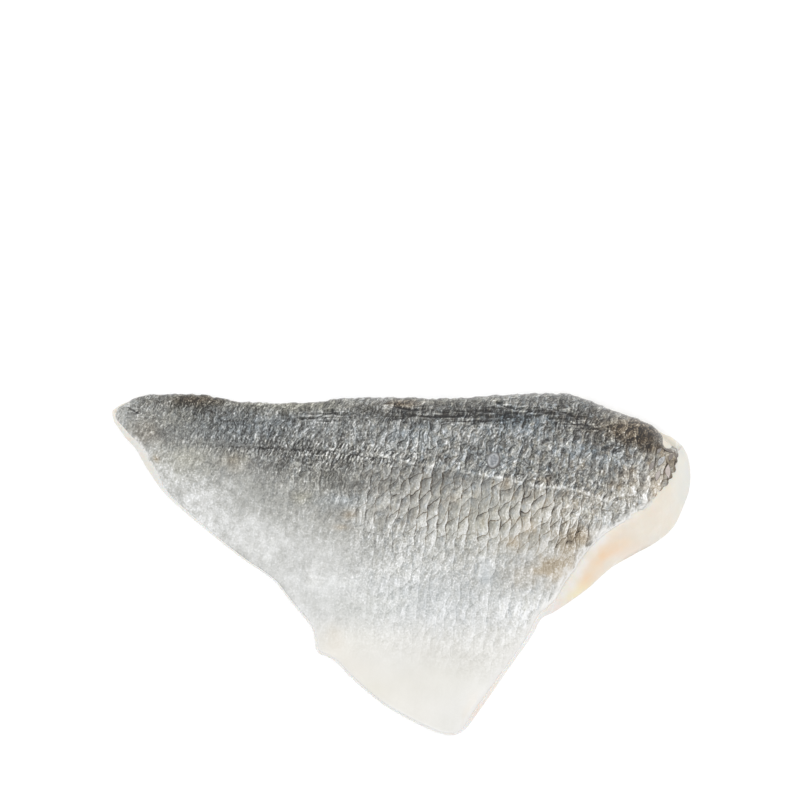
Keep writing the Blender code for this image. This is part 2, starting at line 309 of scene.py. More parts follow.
def scale_places(x, y, below):
    """Each point's place in the pattern of scales: its column, and its row below the line."""
    reach = np.linspace(-100, 100, 500)
    growth = smooth_step(reach, -80, -15)
    pitch = COLUMN_PITCH_TAIL + (COLUMN_PITCH_FLANK - COLUMN_PITCH_TAIL) * growth
    columns_passed = np.cumsum((reach[1] - reach[0]) / pitch)
    leaning = COLUMN_LEAN_BELOW * np.maximum(below, 0) + COLUMN_LEAN_ABOVE * np.minimum(below, 0)
    column = np.interp(x + leaning, reach, columns_passed)
    row_pitch = ROW_PITCH_TAIL + (ROW_PITCH_FLANK - ROW_PITCH_TAIL) * smooth_step(x, -80, -15)
    row = below / (row_pitch * (1 + 0.003 * np.clip(below, 0, 60)))
    column = column + 0.22 * soft_noise(x, y, 9.0, 1) + 0.07 * soft_noise(x, y, 3.4, 2)
    row = row + 0.24 * soft_noise(x, y, 9.0, 3) + 0.14 * soft_noise(x, y, 3.4, 4)
    return column + 0.06 * np.sin(2 * math.pi * (row - POCKET_STEP * column)), row


x, y = surface[..., 0], surface[..., 1]
column_place, row_place = scale_places(x, y, below_along_skin(surface))
print("scale columns:", round(float(np.ptp(column_place))))
print("scale rows:", round(float(np.ptp(row_place))))

# %% [markdown]
# ## Folds, cut edges and relief
#
# Beside the cut of the back fin the skin is wrinkled, and at the head it was cut across the
# scales, which leaves a ragged rim. Both are drawn as distances: every point knows how far it
# is from the nearest fold and from the head cut. Distances change slowly from point to point,
# so even a fold that is finer than the grid comes out sharp in the material.

# %% Distances to folds and to the cut edges
# Folds: how deep, then the points that they run through
FOLDS = [
    (0.7, [(-26.6, 45.4), (-24.4, 46.2), (-22.8, 46.7), (-20.6, 46.9)]),
    (0.3, [(-20.6, 46.0), (-17.8, 46.7)]),
    (0.3, [(-30.2, 45.2), (-27.6, 45.3), (-22.2, 45.1)]),
    (0.8, [(-4.4, 49.4), (-0.1, 48.6), (3.4, 48.0), (7.8, 48.3), (9.2, 48.4)]),
    (1.0, [(6.3, 46.0), (8.7, 45.7), (12.5, 45.8), (16.3, 45.9), (18.7, 46.2), (21.6, 46.5)]),
    (0.4, [(14.0, 44.6), (17.8, 44.5), (19.6, 44.2)]),
    (0.7, [(20.6, 43.2), (23.2, 44.0), (26.8, 44.6), (29.7, 45.2)]),
    (0.6, [(23.7, 47.7), (26.8, 47.2), (30.4, 47.7)]),
    (0.4, [(-3.2, 45.8), (-0.6, 45.2), (4.2, 46.0)]),
    (0.4, [(17.8, 46.2), (22.0, 45.1)]),
    (0.7, [(29.0, 50.3), (34.1, 48.6), (38.0, 47.7)]),
    (0.6, [(31.6, 45.4), (39.2, 47.4), (46.2, 46.7), (50.0, 45.1)]),
    (0.6, [(43.7, 49.0), (50.7, 47.1), (55.7, 44.5), (60.8, 41.6)]),
    (0.5, [(47.5, 46.4), (53.2, 43.5), (59.5, 41.3)]),
    (0.8, [(-85.6, 49.2), (-83.2, 47.8), (-80.4, 46.3)]),
]
FOLD_DEPTH = 0.34
FOLD_HALF_WIDTH = 0.65
FAR_AWAY = 30.0


def distance_to(curve, x, y):
    """How far each point is from a curve, which thins out towards its two ends."""
    nearest = np.full(x.shape, FAR_AWAY)
    shares = np.linspace(0, 1, 60)
    for share, (px, py) in zip(shares, curve_through(curve, shares)):
        thinning = 0.7 * (2 * share - 1) ** 4
        nearest = np.minimum(nearest, np.hypot(x - px, y - py) + thinning)
    return nearest


fold_distance = np.full(x.shape, FAR_AWAY)
for depth, fold in FOLDS:
    fold_distance = np.minimum(fold_distance, distance_to(fold, x, y) + 0.55 * (1 - depth))
from_tail = lengths_along(surface[..., :2], axis=0)
from_head = from_tail[-1] - from_tail
from_back = surface[..., 4]
from_belly = from_back[:, -1:] - from_back
below_line = lateral_line_y(x) - y
print("points within 1 mm of a fold:", int((fold_distance < 1).sum()))

# %% Ragged edges
NOTCH = (83.4, 38.4)
NOTCH_DEPTH = 1.6
NOTCH_RADIUS = 1.9
RAGGED_REACH = 22.0
SCALE_TIP_PITCH = 2.6
CUT_FADE = 2.6


def ragged_edges(surface):
    """The surface with its head cut torn along the scales, and a nick at the top corner."""
    torn = surface.copy()
    down_head = lengths_along(surface[-1, :, :2])
    tips = np.abs(np.sin(down_head * math.pi / SCALE_TIP_PITCH)) ** 0.6 - 0.5
    shaggy = 1 - smooth_step(down_head, RAGGED_REACH, RAGGED_REACH + 14)
    cut = 0.30 * soft_noise(down_head, 0 * down_head, 1.1, 7)
    cut += 0.45 * soft_noise(down_head, 0 * down_head, 3.4, 8)
    cut = 0.35 + cut * (0.45 + 0.55 * shaggy) - 0.75 * tips * shaggy
    cut[0] = 0.0
    cut *= 1 - 0.6 * smooth_step(down_head, 0.9 * down_head[-1], down_head[-1])
    towards_tail = np.zeros_like(surface[..., :2])
    towards_tail[1:] = surface[:-1, :, :2] - surface[1:, :, :2]
    towards_tail /= np.linalg.norm(towards_tail, axis=2)[..., None] + 1e-9
    shift = np.clip(cut, -0.2, 2.0)[None, :] * np.exp(-from_head / CUT_FADE)
    torn[..., :2] += towards_tail * shift[..., None]
    to_notch = np.hypot(surface[..., 0] - NOTCH[0], surface[..., 1] - NOTCH[1])
    nick = NOTCH_DEPTH * np.exp(-((to_notch / NOTCH_RADIUS) ** 2))
    torn[..., 0] -= 0.55 * nick
    along_back = surface[:, 0, 0]
    jags = 0.20 + 0.24 * soft_noise(along_back, 0 * along_back, 1.1, 9)
    jags += 0.14 * soft_noise(along_back, 0 * along_back, 3.2, 10)
    jagged = np.clip(jags, 0, 0.5)[:, None] * np.exp(-from_back / 0.8)
    torn[..., 1] -= 0.75 * nick + jagged
    return torn


surface = ragged_edges(surface)
print("the head cut runs for", round(float(lengths_along(surface[-1, :, :2])[-1]), 1), "mm")


# %% Relief of the skin
SUNK = 0.17
RIM_SUNK = 0.32
POCKET_RELIEF = 0.13
PORE_RIDGE = 0.16
PORE_HALF_WIDTH = 0.55
LINE_GROOVE = 0.22
GROOVE_HALF_WIDTH = 1.6
FOLD_BANK = 0.22


def grid_normals(points):
    """The upward normal at each point of a [column, row] grid."""
    across = np.gradient(points, axis=0)
    down = np.gradient(points, axis=1)
    normals = np.cross(down, across)
    return normals / np.linalg.norm(normals, axis=2)[..., None]


flank = smooth_step(x, -62, -5) * (1 - smooth_step(below_line, 22, 40))
near_rim = smooth_step(np.minimum(from_head, from_belly), 0.0, 2.0)
near_rim *= smooth_step(np.minimum(from_tail, from_back), 0.0, 2.0)
across_pocket = np.abs(2 * (column_place - np.floor(column_place)) - 1)
relief = POCKET_RELIEF * (0.4 - smooth_step(across_pocket, 0.3, 1.0))
relief = relief * (0.25 + 0.75 * flank) * near_rim
ridge = np.exp(-((below_line / PORE_HALF_WIDTH) ** 2)) * smooth_step(x, -45, -20)
ridge *= 1 - smooth_step(x, 62, 70)
relief += PORE_RIDGE * ridge * (0.6 + 0.4 * soft_noise(x, y, 1.6, 11))
groove = LINE_GROOVE * np.exp(-((below_line / GROOVE_HALF_WIDTH) ** 2))
relief -= groove * smooth_step(from_tail, 0, 6)
relief -= FOLD_DEPTH * np.exp(-((fold_distance / FOLD_HALF_WIDTH) ** 2))
bank = FOLD_BANK * np.exp(-(((fold_distance - 1.5) / 0.9) ** 2))
relief += bank * smooth_step(from_back, 0.5, 2.5)
relief += 0.05 * soft_noise(x, y, 1.3, 12) * near_rim
relief += 0.10 * soft_noise(x, y, 2.6, 13) * near_rim
thin_rim = 1 - smooth_step(np.minimum.reduce([from_head, from_belly, from_tail]), 0.0, 1.6)
relief -= SUNK + RIM_SUNK * thin_rim
print("relief from", round(float(relief.min()), 2), "to", round(float(relief.max()), 2), "mm")

# %% [markdown]
# ## Building the skin
#
# The skin starts as a flat grid with enough squares for the scale pockets. Each of its points is
# then put in its place, the sheet is given its thickness by a Solidify modifier, and the inner
# side, which is never seen, is thinned out to keep the file light.


# %% Select, edit and place points
def deselect_all():
    """Operators act on all that is selected, so each step starts from nothing."""
    if bpy.context.object and bpy.context.object.mode != "OBJECT":
        bpy.ops.object.mode_set(mode="OBJECT")
    bpy.ops.object.select_all(action="DESELECT")


def select_only(*pieces):
    """Selects these pieces and nothing else; operators work on the first of them."""
    deselect_all()
    for piece in pieces:
        piece.select_set(True)
    bpy.context.view_layer.objects.active = pieces[0]


def edit_all():
    """Opens the active piece in edit mode with all of it selected."""
    bpy.ops.object.mode_set(mode="EDIT")
    bpy.ops.mesh.select_all(action="SELECT")


def apply_modifier(piece, kind, **settings):
    """Adds a modifier with its settings and applies it, so that the mesh keeps its result."""
    modifier = piece.modifiers.new(kind.lower(), kind)
    for name, value in settings.items():
        setattr(modifier, name, value)
    bpy.ops.object.modifier_apply(modifier=modifier.name)


def coordinates_of(mesh):
    """Where a mesh's vertices are, in metres."""
    flat = np.zeros(len(mesh.vertices) * 3)
    mesh.vertices.foreach_get("co", flat)
    return flat.reshape(-1, 3)


def move_vertices(mesh, places):
    """Puts a mesh's vertices at these places, in metres."""
    mesh.vertices.foreach_set("co", places.ravel())
    mesh.update()


def store(mesh, name, values):
    """Keeps three numbers a vertex as a named attribute, for the material to read."""
    attribute = mesh.attributes.new(name, "FLOAT_VECTOR", "POINT")
    attribute.data.foreach_set("vector", np.asarray(values, np.float32).ravel())


deselect_all()
print("pieces selected at the start:", len(bpy.context.selected_objects))

# %% Place a grid's points
def placed_grid(name, points):
    """A primitive grid with its points placed, and each vertex's column and row."""
    columns, rows = points.shape[0] - 1, points.shape[1] - 1
    deselect_all()
    bpy.ops.mesh.primitive_grid_add(x_subdivisions=columns, y_subdivisions=rows, size=2.0)
    grid = bpy.context.object
    grid.name = grid.data.name = name
    flat_x, flat_y, _ = coordinates_of(grid.data).T
    column = np.rint((flat_x + 1) / 2 * columns).astype(int)
    row = np.rint((1 - flat_y) / 2 * rows).astype(int)
    move_vertices(grid.data, np.clip(points[column, row] * MM, *cad_box))
    return grid, column, row


normals = grid_normals(surface[..., :3])
skin_points = surface[..., :3] + normals * relief[..., None]
skin, skin_column, skin_row = placed_grid("skin_fillet", skin_points)
print("skin grid:", len(skin.data.vertices), "points")

# %% [markdown]
# ## How the colour changes over the fillet
#
# A bream is dark grey along the back, silver on the flank and white below. The tone is painted
# with a few broad strokes: a line where the tone is halfway, a ladder of tones on either side
# of it, and some patches. The skin's points carry the result.

# %% Soft patches
def sum_of_patches(patches, x, y):
    """Soft patches added up, their edges made uneven."""
    total = np.zeros_like(x)
    stretch = 1 + 0.25 * soft_noise(x, y, 2.4, 21)
    shift = 0.15 * soft_noise(x, y, 5.0, 22)
    for px, py, half_width, half_height, strength in patches:
        away = np.hypot((x - px) / half_width, (y - py) / half_height) * stretch + shift
        total += strength * np.exp(-np.clip(away, 0, None) ** 2)
    return total


def share_of_patches(patches, x, y):
    """Soft patches as a share from 0 to 1."""
    return np.clip(sum_of_patches(patches, x, y), 0, 1)


patch_area = share_of_patches([(0, 0, 10, 5, 1)], x, y) > 0.5
print("a patch of 10 by 5 mm covers", int(patch_area.sum()), "points")

# %% Tone: how light the skin is
HALF_TONE_LINE = [
    (-90, 41), (-80, 36.5), (-71.9, 33.5), (-59.5, 27.9), (-47, 23.8), (-34.6, 16.7), (-22.1, 13.5),
    (-9.7, 11.7), (2.8, 11.7), (15.3, 12.9), (27.7, 12.6), (40.2, 12.3), (52.6, 14.5), (65.1, 17.3),
    (77.5, 24.1), (90, 30),
]
TONE_LADDER = [
    (-22, 0.502), (-14, 0.502), (-9.3, 0.556), (-4.7, 0.621), (0, 0.677), (4.7, 0.72), (9.3, 0.764),
    (14, 0.789), (18.7, 0.81), (24.9, 0.838), (31.1, 0.873), (39, 0.9),
]
# Patches: x, y, half width, half height, change of tone
TONE_PATCHES = [
    (14, 46.8, 28, 2.4, -0.19), (45, 46, 18, 3, -0.16), (61, 41.5, 11, 5, -0.17),
    (2, 38.5, 20, 4.5, 0.03), (20, 51.5, 26, 1.4, 0.06), (-50, 38, 22, 7, -0.07),
    (52.6, 8.5, 6, 4, -0.1), (-25, 34, 14, 6, -0.06), (76, 40, 8, 4.5, -0.17),
    # The patch at 36, -15 lightens the tone for a painted sheen near the top of the flap.
    (36, -15, 7, 4, 0.07), (-87, 42, 4, 5, 0.07), (62, 37, 6, 4, -0.06), (40, 20, 22, 6, 0.07),
    (-18, 51, 10, 2, -0.08), (40, 10, 14, 6, 0.03), (-68, 43, 10, 7, -0.06),
    (-28, 22.8, 5, 5, -0.045), (-14, 14, 8, 5, -0.03), (-9.7, 42.2, 6, 6, 0.065),
    (-0.3, 46.5, 5, 4, -0.05), (9, 38.5, 6, 7, 0.03), (38.6, 45.3, 6, 4, 0.04),
    (54, 50.6, 12, 2.5, -0.04), (62, 45, 6, 4, -0.03), (24, 22.3, 6, 5, 0.05),
    (50, 26, 14, 5, -0.045), (74.4, 29, 6, 6, -0.06), (18.4, 16, 4, 4, 0.06),
    (18.4, -1.4, 10, 6, -0.04), (37.7, -5, 7, 6, -0.08), (-76, 31, 5, 5, 0.06),
    (-58, 13, 8, 6, 0.04), (-85, 50.3, 4, 3, 0.1), (-61.5, 50.8, 10, 2.4, -0.27),
    (-70, 40, 8, 4, -0.05), (-44, 38, 9, 5, -0.06), (-47, 50.9, 5, 2.2, 0.06),
    (-20, 50.9, 8, 2.2, 0.05), (28, 51, 28, 2.4, -0.07), (0, 38.5, 5, 6, -0.06),
    (24, 34, 10, 5, -0.035), (-74, 29, 4, 4, 0.06), (-66, 23, 6, 5, 0.06), (-56, 17, 6, 4, 0.05),
    (-47, 13, 5, 5, 0.035), (27.7, 24.8, 4, 4, 0.055), (38, 22, 7, 6, -0.04), (66, 15, 4, 6, -0.03),
    (28, -17, 7, 7, -0.035), (21.5, -30, 9, 6, -0.08), (31, -24, 5, 6, -0.04),
    (-76.1, 32.4, 0.8, 0.8, -0.15), (-56, 47.5, 10, 3, -0.06), (5.9, -23.8, 12, 6, -0.03),
    (45, 12, 25, 12, -0.03), (77, 40.5, 7, 5, -0.12), (22, 46.5, 24, 3, -0.04),
    (25, -42, 5, 5, 0.07), (0, -36, 7, 5, -0.02), (26.2, -2, 2.2, 4.4, 0.03),
    (-23.5, 22, 3.5, 1.5, 0.09), (-17.5, 20, 3.5, 1.4, 0.11), (-11.8, 18, 3, 1.3, 0.09),
    (-18.4, 11.4, 2.4, 1, -0.04), (53, 6.5, 5, 2, -0.07), (49, -0.5, 4, 1.5, -0.07),
    (23, 51.4, 34, 1.8, -0.05), (-0.3, 49.8, 4, 2, -0.05), (55, 50, 4, 2.4, -0.05),
    (60, 46.5, 6, 2.4, -0.07), (0, 40, 3, 9, -0.045), (-9, 32.5, 4, 2.4, -0.05),
    (38, 23.5, 6, 4, -0.035), (-64, 18, 7, 5, 0.03), (-52, 13, 8, 6, 0.03), (-38, 8, 8, 7, 0.04),
    (-28, 6, 8, 6, 0.045), (-14, 4, 8, 4, 0.035), (-9.7, -37.8, 7, 4, -0.03),
    (55.5, 7.5, 5, 2.6, -0.07), (-25, 8, 18, 9, -0.015), (56, 37, 5, 4, 0.04),
]

half_tone_y = np.interp(x, *np.array(HALF_TONE_LINE).T)
lower = half_tone_y - y + 1.6 * soft_noise(x, y, 8.0, 23)
tone = np.interp(lower, *np.array(TONE_LADDER).T)
tone += sum_of_patches(TONE_PATCHES, x, y) + 0.025 * soft_noise(x, y, 4.5, 24)
tone += 0.02 * soft_noise(x, y, 9.0, 27) * smooth_step(-y, 15, 30)
# Towards the tail the flank is mottled, and close to it more finely
mottled = smooth_step(-x, 5, 40) * smooth_step(lower, -8, 2)
tone += 0.05 * soft_noise(x, y, 2.3, 30) * mottled
mottled = smooth_step(-x, 42, 60) * smooth_step(lower, -6, 3)
tone += 0.07 * soft_noise(x, y, 1.7, 32) * mottled
print("tones from", round(float(tone.min()), 2), "to", round(float(tone.max()), 2))

# %% Contrast: how strongly the pattern shows
# Patches: x, y, half width, half height, change of contrast
CONTRAST_PATCHES = [
    # The patch at 40, -15 raises the contrast there for the same painted sheen.
    (-20, 33.5, 24, 3, 0.35), (73, 41, 10, 4, 0.3), (8, 36, 22, 9, 0.07), (40, -15, 7, 4, 0.25),
    (55, 10, 8, 8, 0.3), (38, 5, 12, 7, -0.14), (26.2, -2, 2.6, 4.4, -0.2),
]

contrast = np.interp(lower, [-20, 2, 10, 20, 30], [0.92, 0.84, 0.50, 0.34, 0.28])
contrast *= 1 - 0.90 * smooth_step(-y - 6 * smooth_step(x, 0, 25), 21, 33)
contrast *= 1 + 0.12 * smooth_step(-x, 5, 30) * (1 - smooth_step(lower, -14, 0))
calm = 0.66 - 0.15 * smooth_step(lower, 8, 20)
contrast *= 1 - calm * smooth_step(-x, 0, 23) * smooth_step(lower, -20, 2)
contrast *= 1 + 0.70 * smooth_step(-x, 45, 65) * smooth_step(lower, -8, 2)
contrast += sum_of_patches(CONTRAST_PATCHES, x, y)
print("contrast from", round(float(contrast.min()), 2), "to", round(float(contrast.max()), 2))

# %% Where the pockets show, and where they have dark outlines
outlined = smooth_step(x, -24, 6) * smooth_step(below_line, -1, 3)
outlined *= (1 - smooth_step(below_line, 15, 27)) * (0.82 + 0.18 * soft_noise(x, y, 6.0, 29))
outlined *= 1 - 0.6 * smooth_step(x, 43, 54)
outlined = np.maximum(outlined, sum_of_patches([(82, 29, 5, 9, 0.8)], x, y))
shown_pockets = 0.5 + 0.5 * smooth_step(x, -22, 6)
shown_pockets *= 1 - 0.6 * smooth_step(-x, 12, 26) * smooth_step(lower, -6, 4)
shown_pockets += 0.2 * soft_noise(x, y, 7.0, 28)
print("points with outlines:", int((outlined > 0.5).sum()))

# %% Brown, olive and cool tints
# Patches: x, y, half width, half height, strength
BROWN_PATCHES = [
    (71, 42.5, 11, 4.5, 1), (0.5, 50, 6, 1.4, 0.9), (-61.5, 51.4, 9, 1.8, 0.7),
    (32.5, 25, 1.6, 1.8, 0.6), (45.2, 26.4, 2.4, 1.4, 0.5), (55, 8.5, 4.5, 3.4, 0.9),
    (48.5, -1.5, 4.5, 3.4, 0.8), (-15.7, 15.4, 2.2, 1.2, 0.6), (-18.4, 11.4, 2.4, 1, 0.7),
    (16.8, 20.7, 1.8, 1.6, 0.35), (34.9, 6.7, 2, 1.5, 0.8), (39.2, 11.4, 2.4, 2, 0.7),
    (79, 24, 3.5, 7, 0.8), (-52, 32, 3.5, 2.4, 0.4), (70, 28, 5, 4, 0.5), (42, 8, 16, 10, 0.2),
    (-76.1, 32.4, 1, 1, 1), (-79, 41, 5, 4, 0.35), (50, 20, 16, 5, 0.25), (83, 33, 4, 4, 0.6),
    (0, 20, 20, 9, 0.12), (49, -2, 6, 5, 0.3), (38, -4, 5, 4, 0.4), (-20.5, -26, 4, 5, 1),
    (22.5, -46.5, 2.2, 3.5, 0.9), (-13, -33, 6, 3, 0.6), (77, 38, 7, 5, 0.5), (70, 22, 8, 5, 0.25),
    (52, -2, 7, 9, 0.3), (56, 31, 5, 3, 0.3),
]
OLIVE_PATCHES = [
    (-33, 50, 15, 2.4, 0.9), (-31, 20.7, 3, 2, 0.6), (-51, 32.5, 3, 2, 0.6), (14, 51, 14, 1.6, 0.5),
    (28, 14, 18, 9, 0.35), (-14, -24, 10, 6, 0.25), (-8.5, -39, 6, 4, 1), (14, -36, 14, 6, 0.3),
    (-66, 33, 9, 5, 0.5), (-24, 26, 14, 7, 0.2), (-70, 45, 8, 4, 0.35), (-61, 51, 10, 2, 0.6),
    (-8, -12.5, 16, 4, 0.2),
]
COOL_PATCHES = [
    (36, 44, 9, 4, 0.7), (57, 34, 7, 5, 0.6), (70, 33, 6, 6, 0.6), (-48, 43, 24, 5, 0.4),
    (4, 40, 10, 4, 0.4), (40, -2, 8, 6, 0.3), (28, 33, 8, 5, 0.4), (5, -12, 25, 9, 0.3),
    (26.2, -2, 2.6, 4.4, 0.35), (-17.5, 20, 9, 2, 0.5),
]
FLAP_EDGE_PATCHES = [(20.5, -49, 1.8, 4, 1), (23.5, -45, 1.6, 4, 0.9)]

olive = share_of_patches(OLIVE_PATCHES, x, y)
cool = share_of_patches(COOL_PATCHES, x, y)
flap_edge = share_of_patches(FLAP_EDGE_PATCHES, x, y)
brown = np.clip(share_of_patches(BROWN_PATCHES, x, y) + flap_edge, 0, 1)
print("brown points:", int((brown > 0.5).sum()))

# %% Where the lateral line is pale, and where it is dark below
PALE_LINE = [
    (-45, 0), (-12, 0.3), (-6, 0.55), (5, 0.65), (20, 0.7), (26, 0.7), (31, 0.6), (36, 0.7),
    (43, 0.9), (47, 1), (62, 1), (66, 0),
]
DARK_LINE = [
    (-88, 0.2), (-72, 0.7), (-30, 0.85), (-6, 0.85), (0, 0.3), (30, 0.15), (45, 0.3), (66, 0.4),
    (70, 0),
]
pale_line = np.interp(x, *np.array(PALE_LINE).T)
dark_line = np.interp(x, *np.array(DARK_LINE).T)
print("the line is palest at x", round(float(x.ravel()[pale_line.argmax()])), "mm")

# %% Cream belly, film along the cuts, torn rim, and painted light on the rims
FILM_ON_SKIN = [(61.6, 8.4, 2.8, 3, 1), (76.7, 18, 2.4, 1.6, 0.7)]
BELLY_SHADE = [(0, -29, 12, 6, 1)]

frayed = 1.3 * soft_noise(x, y, 1.9, 25) + 0.8 * soft_noise(x, y, 0.9, 26)
film_and_edge_light = 1 - smooth_step(from_head + frayed, 0.9, 2.6)
film_and_edge_light = np.maximum(film_and_edge_light, sum_of_patches(FILM_ON_SKIN, x, y)) * smooth_step(-y, -23, -17)
# Right at the lower head cut the film is laid on thickly, which also paints light over the shade
# along the skin's edge.
film_and_edge_light += 1.5 * (1 - smooth_step(from_head, 0.1, 0.6)) * (1 - smooth_step(y, 12, 18))
tail_film = 1 - smooth_step(from_tail + 0.4 * frayed, 0.5, 1.5)
# The flap's thin rim is painted lighter and less cream: painted light against the shade that falls
# on its turned-down edge.
flap_rim_light = (1 - smooth_step(from_belly, 0.1, 0.7)) * smooth_step(-y, 14, 24)
tone += 0.25 * flap_rim_light
cream = smooth_step(-y, 14, 30) * (1 - 0.4 * smooth_step(x, 0, 20)) * (1 - 0.8 * flap_edge)
cream *= (1 - 0.8 * flap_rim_light) * (1 - 0.35 * sum_of_patches(BELLY_SHADE, x, y))
torn_rim = 1 - smooth_step(from_head + 0.7 * frayed, 0.3, 1.3)
torn_rim *= smooth_step(y, 17, 24)
tone -= 0.26 * torn_rim
brown = np.clip(brown + 0.6 * torn_rim, 0, 1)
film_and_edge_light = np.clip(film_and_edge_light + tail_film * smooth_step(42 - y, 0, 3) * smooth_step(y, 22, 30), 0, 2)
print("points under the film:", int((film_and_edge_light > 0.5).sum()))


# %% Keep it all at the skin's points
def at_vertices(*fields):
    """Three [column, row] fields as a row of three numbers for each vertex of the skin."""
    return np.column_stack([field[skin_column, skin_row] for field in fields])


store(skin.data, "scale_place", at_vertices(column_place, row_place, below_line))
store(skin.data, "tone", at_vertices(tone, contrast, outlined))
store(skin.data, "tint", at_vertices(brown, olive, cool))
store(skin.data, "marks", at_vertices(fold_distance, film_and_edge_light, cream))
store(skin.data, "line", at_vertices(pale_line, dark_line, shown_pockets))
print("attributes:", [name for name in skin.data.attributes.keys() if name[0] != "."])

# %% Give the skin its thickness
SKIN_THICKNESS = 0.5
INNER_SHARE_KEPT = 0.12

inner_side = skin.vertex_groups.new(name="inner_side")
apply_modifier(
    skin, "SOLIDIFY",
    thickness=SKIN_THICKNESS * MM, offset=-1.0, shell_vertex_group=inner_side.name,
)
triangles = 2 * len(skin.data.polygons)
apply_modifier(
    skin, "DECIMATE", vertex_group=inner_side.name,
    ratio=(triangles - (1 - INNER_SHARE_KEPT) * triangles / 2) / triangles,
)
skin.vertex_groups.clear()
bpy.ops.object.shade_smooth()
print("skin faces:", len(skin.data.polygons))

# %% [markdown]
# ## Building the flesh
#
# Under the skin lies one thick piece of muscle. Its top follows the skin, its side is the knife's
# slanting cut, and its flat side shows the muscle's segments as a row of fine W shapes, the
# groove where the backbone lay, and the hollow of the belly. The top starts as a grid, its rim
# is extruded down the cut, and a second grid closes the underside.

# %% The flesh's top
FLESH_COLUMNS = 240
FLESH_ROWS = 110
FLESH_BELOW_SKIN = 0.83
RIM_RISE = 0.27
flesh_surface = skin_surface(FLESH_COLUMNS, FLESH_ROWS)
from_tail_rim = lengths_along(flesh_surface[..., :2], axis=0)
from_head_rim = from_tail_rim[-1] - from_tail_rim
from_belly_rim = flesh_surface[:, -1:, 4] - flesh_surface[..., 4]
from_rim = np.minimum.reduce([from_tail_rim, from_head_rim, from_belly_rim])
flesh_depth = FLESH_BELOW_SKIN - RIM_RISE * (1 - smooth_step(from_rim, 0.5, 3.5))
flesh_top = flesh_surface[..., :3]
flesh_top = flesh_top - grid_normals(flesh_top) * flesh_depth[..., None]
flesh, flesh_column, flesh_row = placed_grid("flesh_fillet", flesh_top)
print("flesh top:", len(flesh.data.vertices), "points")

# %% The slanting cut
CUT_EDGE_HEIGHT = 0.7
BACK_RIM_INSET = 0.8
FOOT_CENTRE = np.array([0.0, 16.0])
FOOT_SCALE = 0.98
CUT_STEPS = 12


def border_of(grid):
    """The points around a [column, row] grid, in the order of join_edges."""
    return join_edges(grid[:, 0], grid[-1], grid[:, -1], grid[0])


def split_edges(loop, columns, rows):
    """The four edges of a closed loop again: back, head, belly and tail."""
    closed = np.vstack([loop, loop[:1]])
    head_end = columns + rows
    belly_end = head_end + columns
    back, head = closed[: columns + 1], closed[columns : head_end + 1]
    belly, tail = closed[head_end : belly_end + 1][::-1], closed[belly_end:][::-1]
    return back, head, belly, tail


column_shares = np.linspace(0, 1, FLESH_COLUMNS + 1)
back, head, belly, tail = LANDMARKS
rim = join_edges(
    curve_through(back, column_shares)[:, :2],
    curve_through(head, flesh_surface[-1, :, 3])[:, :2],
    curve_through(belly, column_shares)[:, :2],
    curve_through(tail, flesh_surface[0, :, 3])[:, :2],
)
fade = smooth_step(column_shares, 0.0, 0.06) * (1 - smooth_step(column_shares, 0.9, 0.98))
rim[: FLESH_COLUMNS + 1, 1] -= BACK_RIM_INSET * fade
top_ring = border_of(flesh_top)
reach = np.linalg.norm(rim - top_ring[:, :2], axis=1)[:, None]
fullness = 0.6 + 0.9 * smooth_step(reach, 2.0, 6.0)
cut_rings = []
for share in np.arange(1, CUT_STEPS + 1) / CUT_STEPS:
    plan = top_ring[:, :2] + (rim - top_ring[:, :2]) * share
    height = top_ring[:, 2:] + (CUT_EDGE_HEIGHT - top_ring[:, 2:]) * share**fullness
    wavy = 0.22 * np.minimum(reach / 6, 1) * math.sin(math.pi * share)
    height += wavy * soft_noise(plan[:, :1] + 1.3 * plan[:, 1:], plan[:, 1:], 3.2, 31)
    cut_rings.append(np.hstack([plan, height]))
foot = FOOT_CENTRE + (rim - FOOT_CENTRE) * FOOT_SCALE
for share, height in ((0.3, 0.3), (0.65, 0.1)):
    cut_rings.append(np.column_stack([rim + (foot - rim) * share, np.full(len(rim), height)]))
cut_rings.append(np.column_stack([foot, np.zeros(len(foot))]))
print("the cut is", round(float(reach.max()), 1), "mm wide at most")

# %% Extrude the rim down the cut
columns, rows = FLESH_COLUMNS, FLESH_ROWS
steps_round = {}
for k in range(columns):
    steps_round[(k, 0)] = k
    steps_round[(columns - k, rows)] = columns + rows + k
for k in range(rows):
    steps_round[(columns, k)] = columns + k
    steps_round[(0, rows - k)] = 2 * columns + rows + k
places = [steps_round.get((int(c), int(r)), -1) for c, r in zip(flesh_column, flesh_row)]
ring_place = flesh.data.attributes.new("ring_place", "INT", "POINT")
ring_place.data.foreach_set("value", places)

select_only(flesh)
edit_all()
bpy.ops.mesh.select_mode(type="EDGE")
bpy.ops.mesh.region_to_loop()
for _ in cut_rings:
    bpy.ops.mesh.extrude_edges_move()
bpy.ops.object.mode_set(mode="OBJECT")

coordinates = coordinates_of(flesh.data)
place_of = np.zeros(len(coordinates), int)
flesh.data.attributes["ring_place"].data.foreach_get("value", place_of)
start = (columns + 1) * (rows + 1)
for k, ring in enumerate(cut_rings):
    chosen = slice(start + k * len(rim), start + (k + 1) * len(rim))
    coordinates[chosen] = ring[place_of[chosen]] * MM
move_vertices(flesh.data, np.clip(coordinates, *cad_box))
flesh.data.attributes.remove(flesh.data.attributes["ring_place"])
print("flesh with its cut:", len(coordinates), "points")

# %% The underside
SPINE_BELOW_LINE = 5.0
MUSCLE_PITCH = 6.5
RIB_PITCH = 5.5
CAVITY_CENTRE = (33.0, -2.0)
CAVITY_HALF_AXES = (34.0, 14.0)
CAVITY_TURN = math.radians(-38.0)


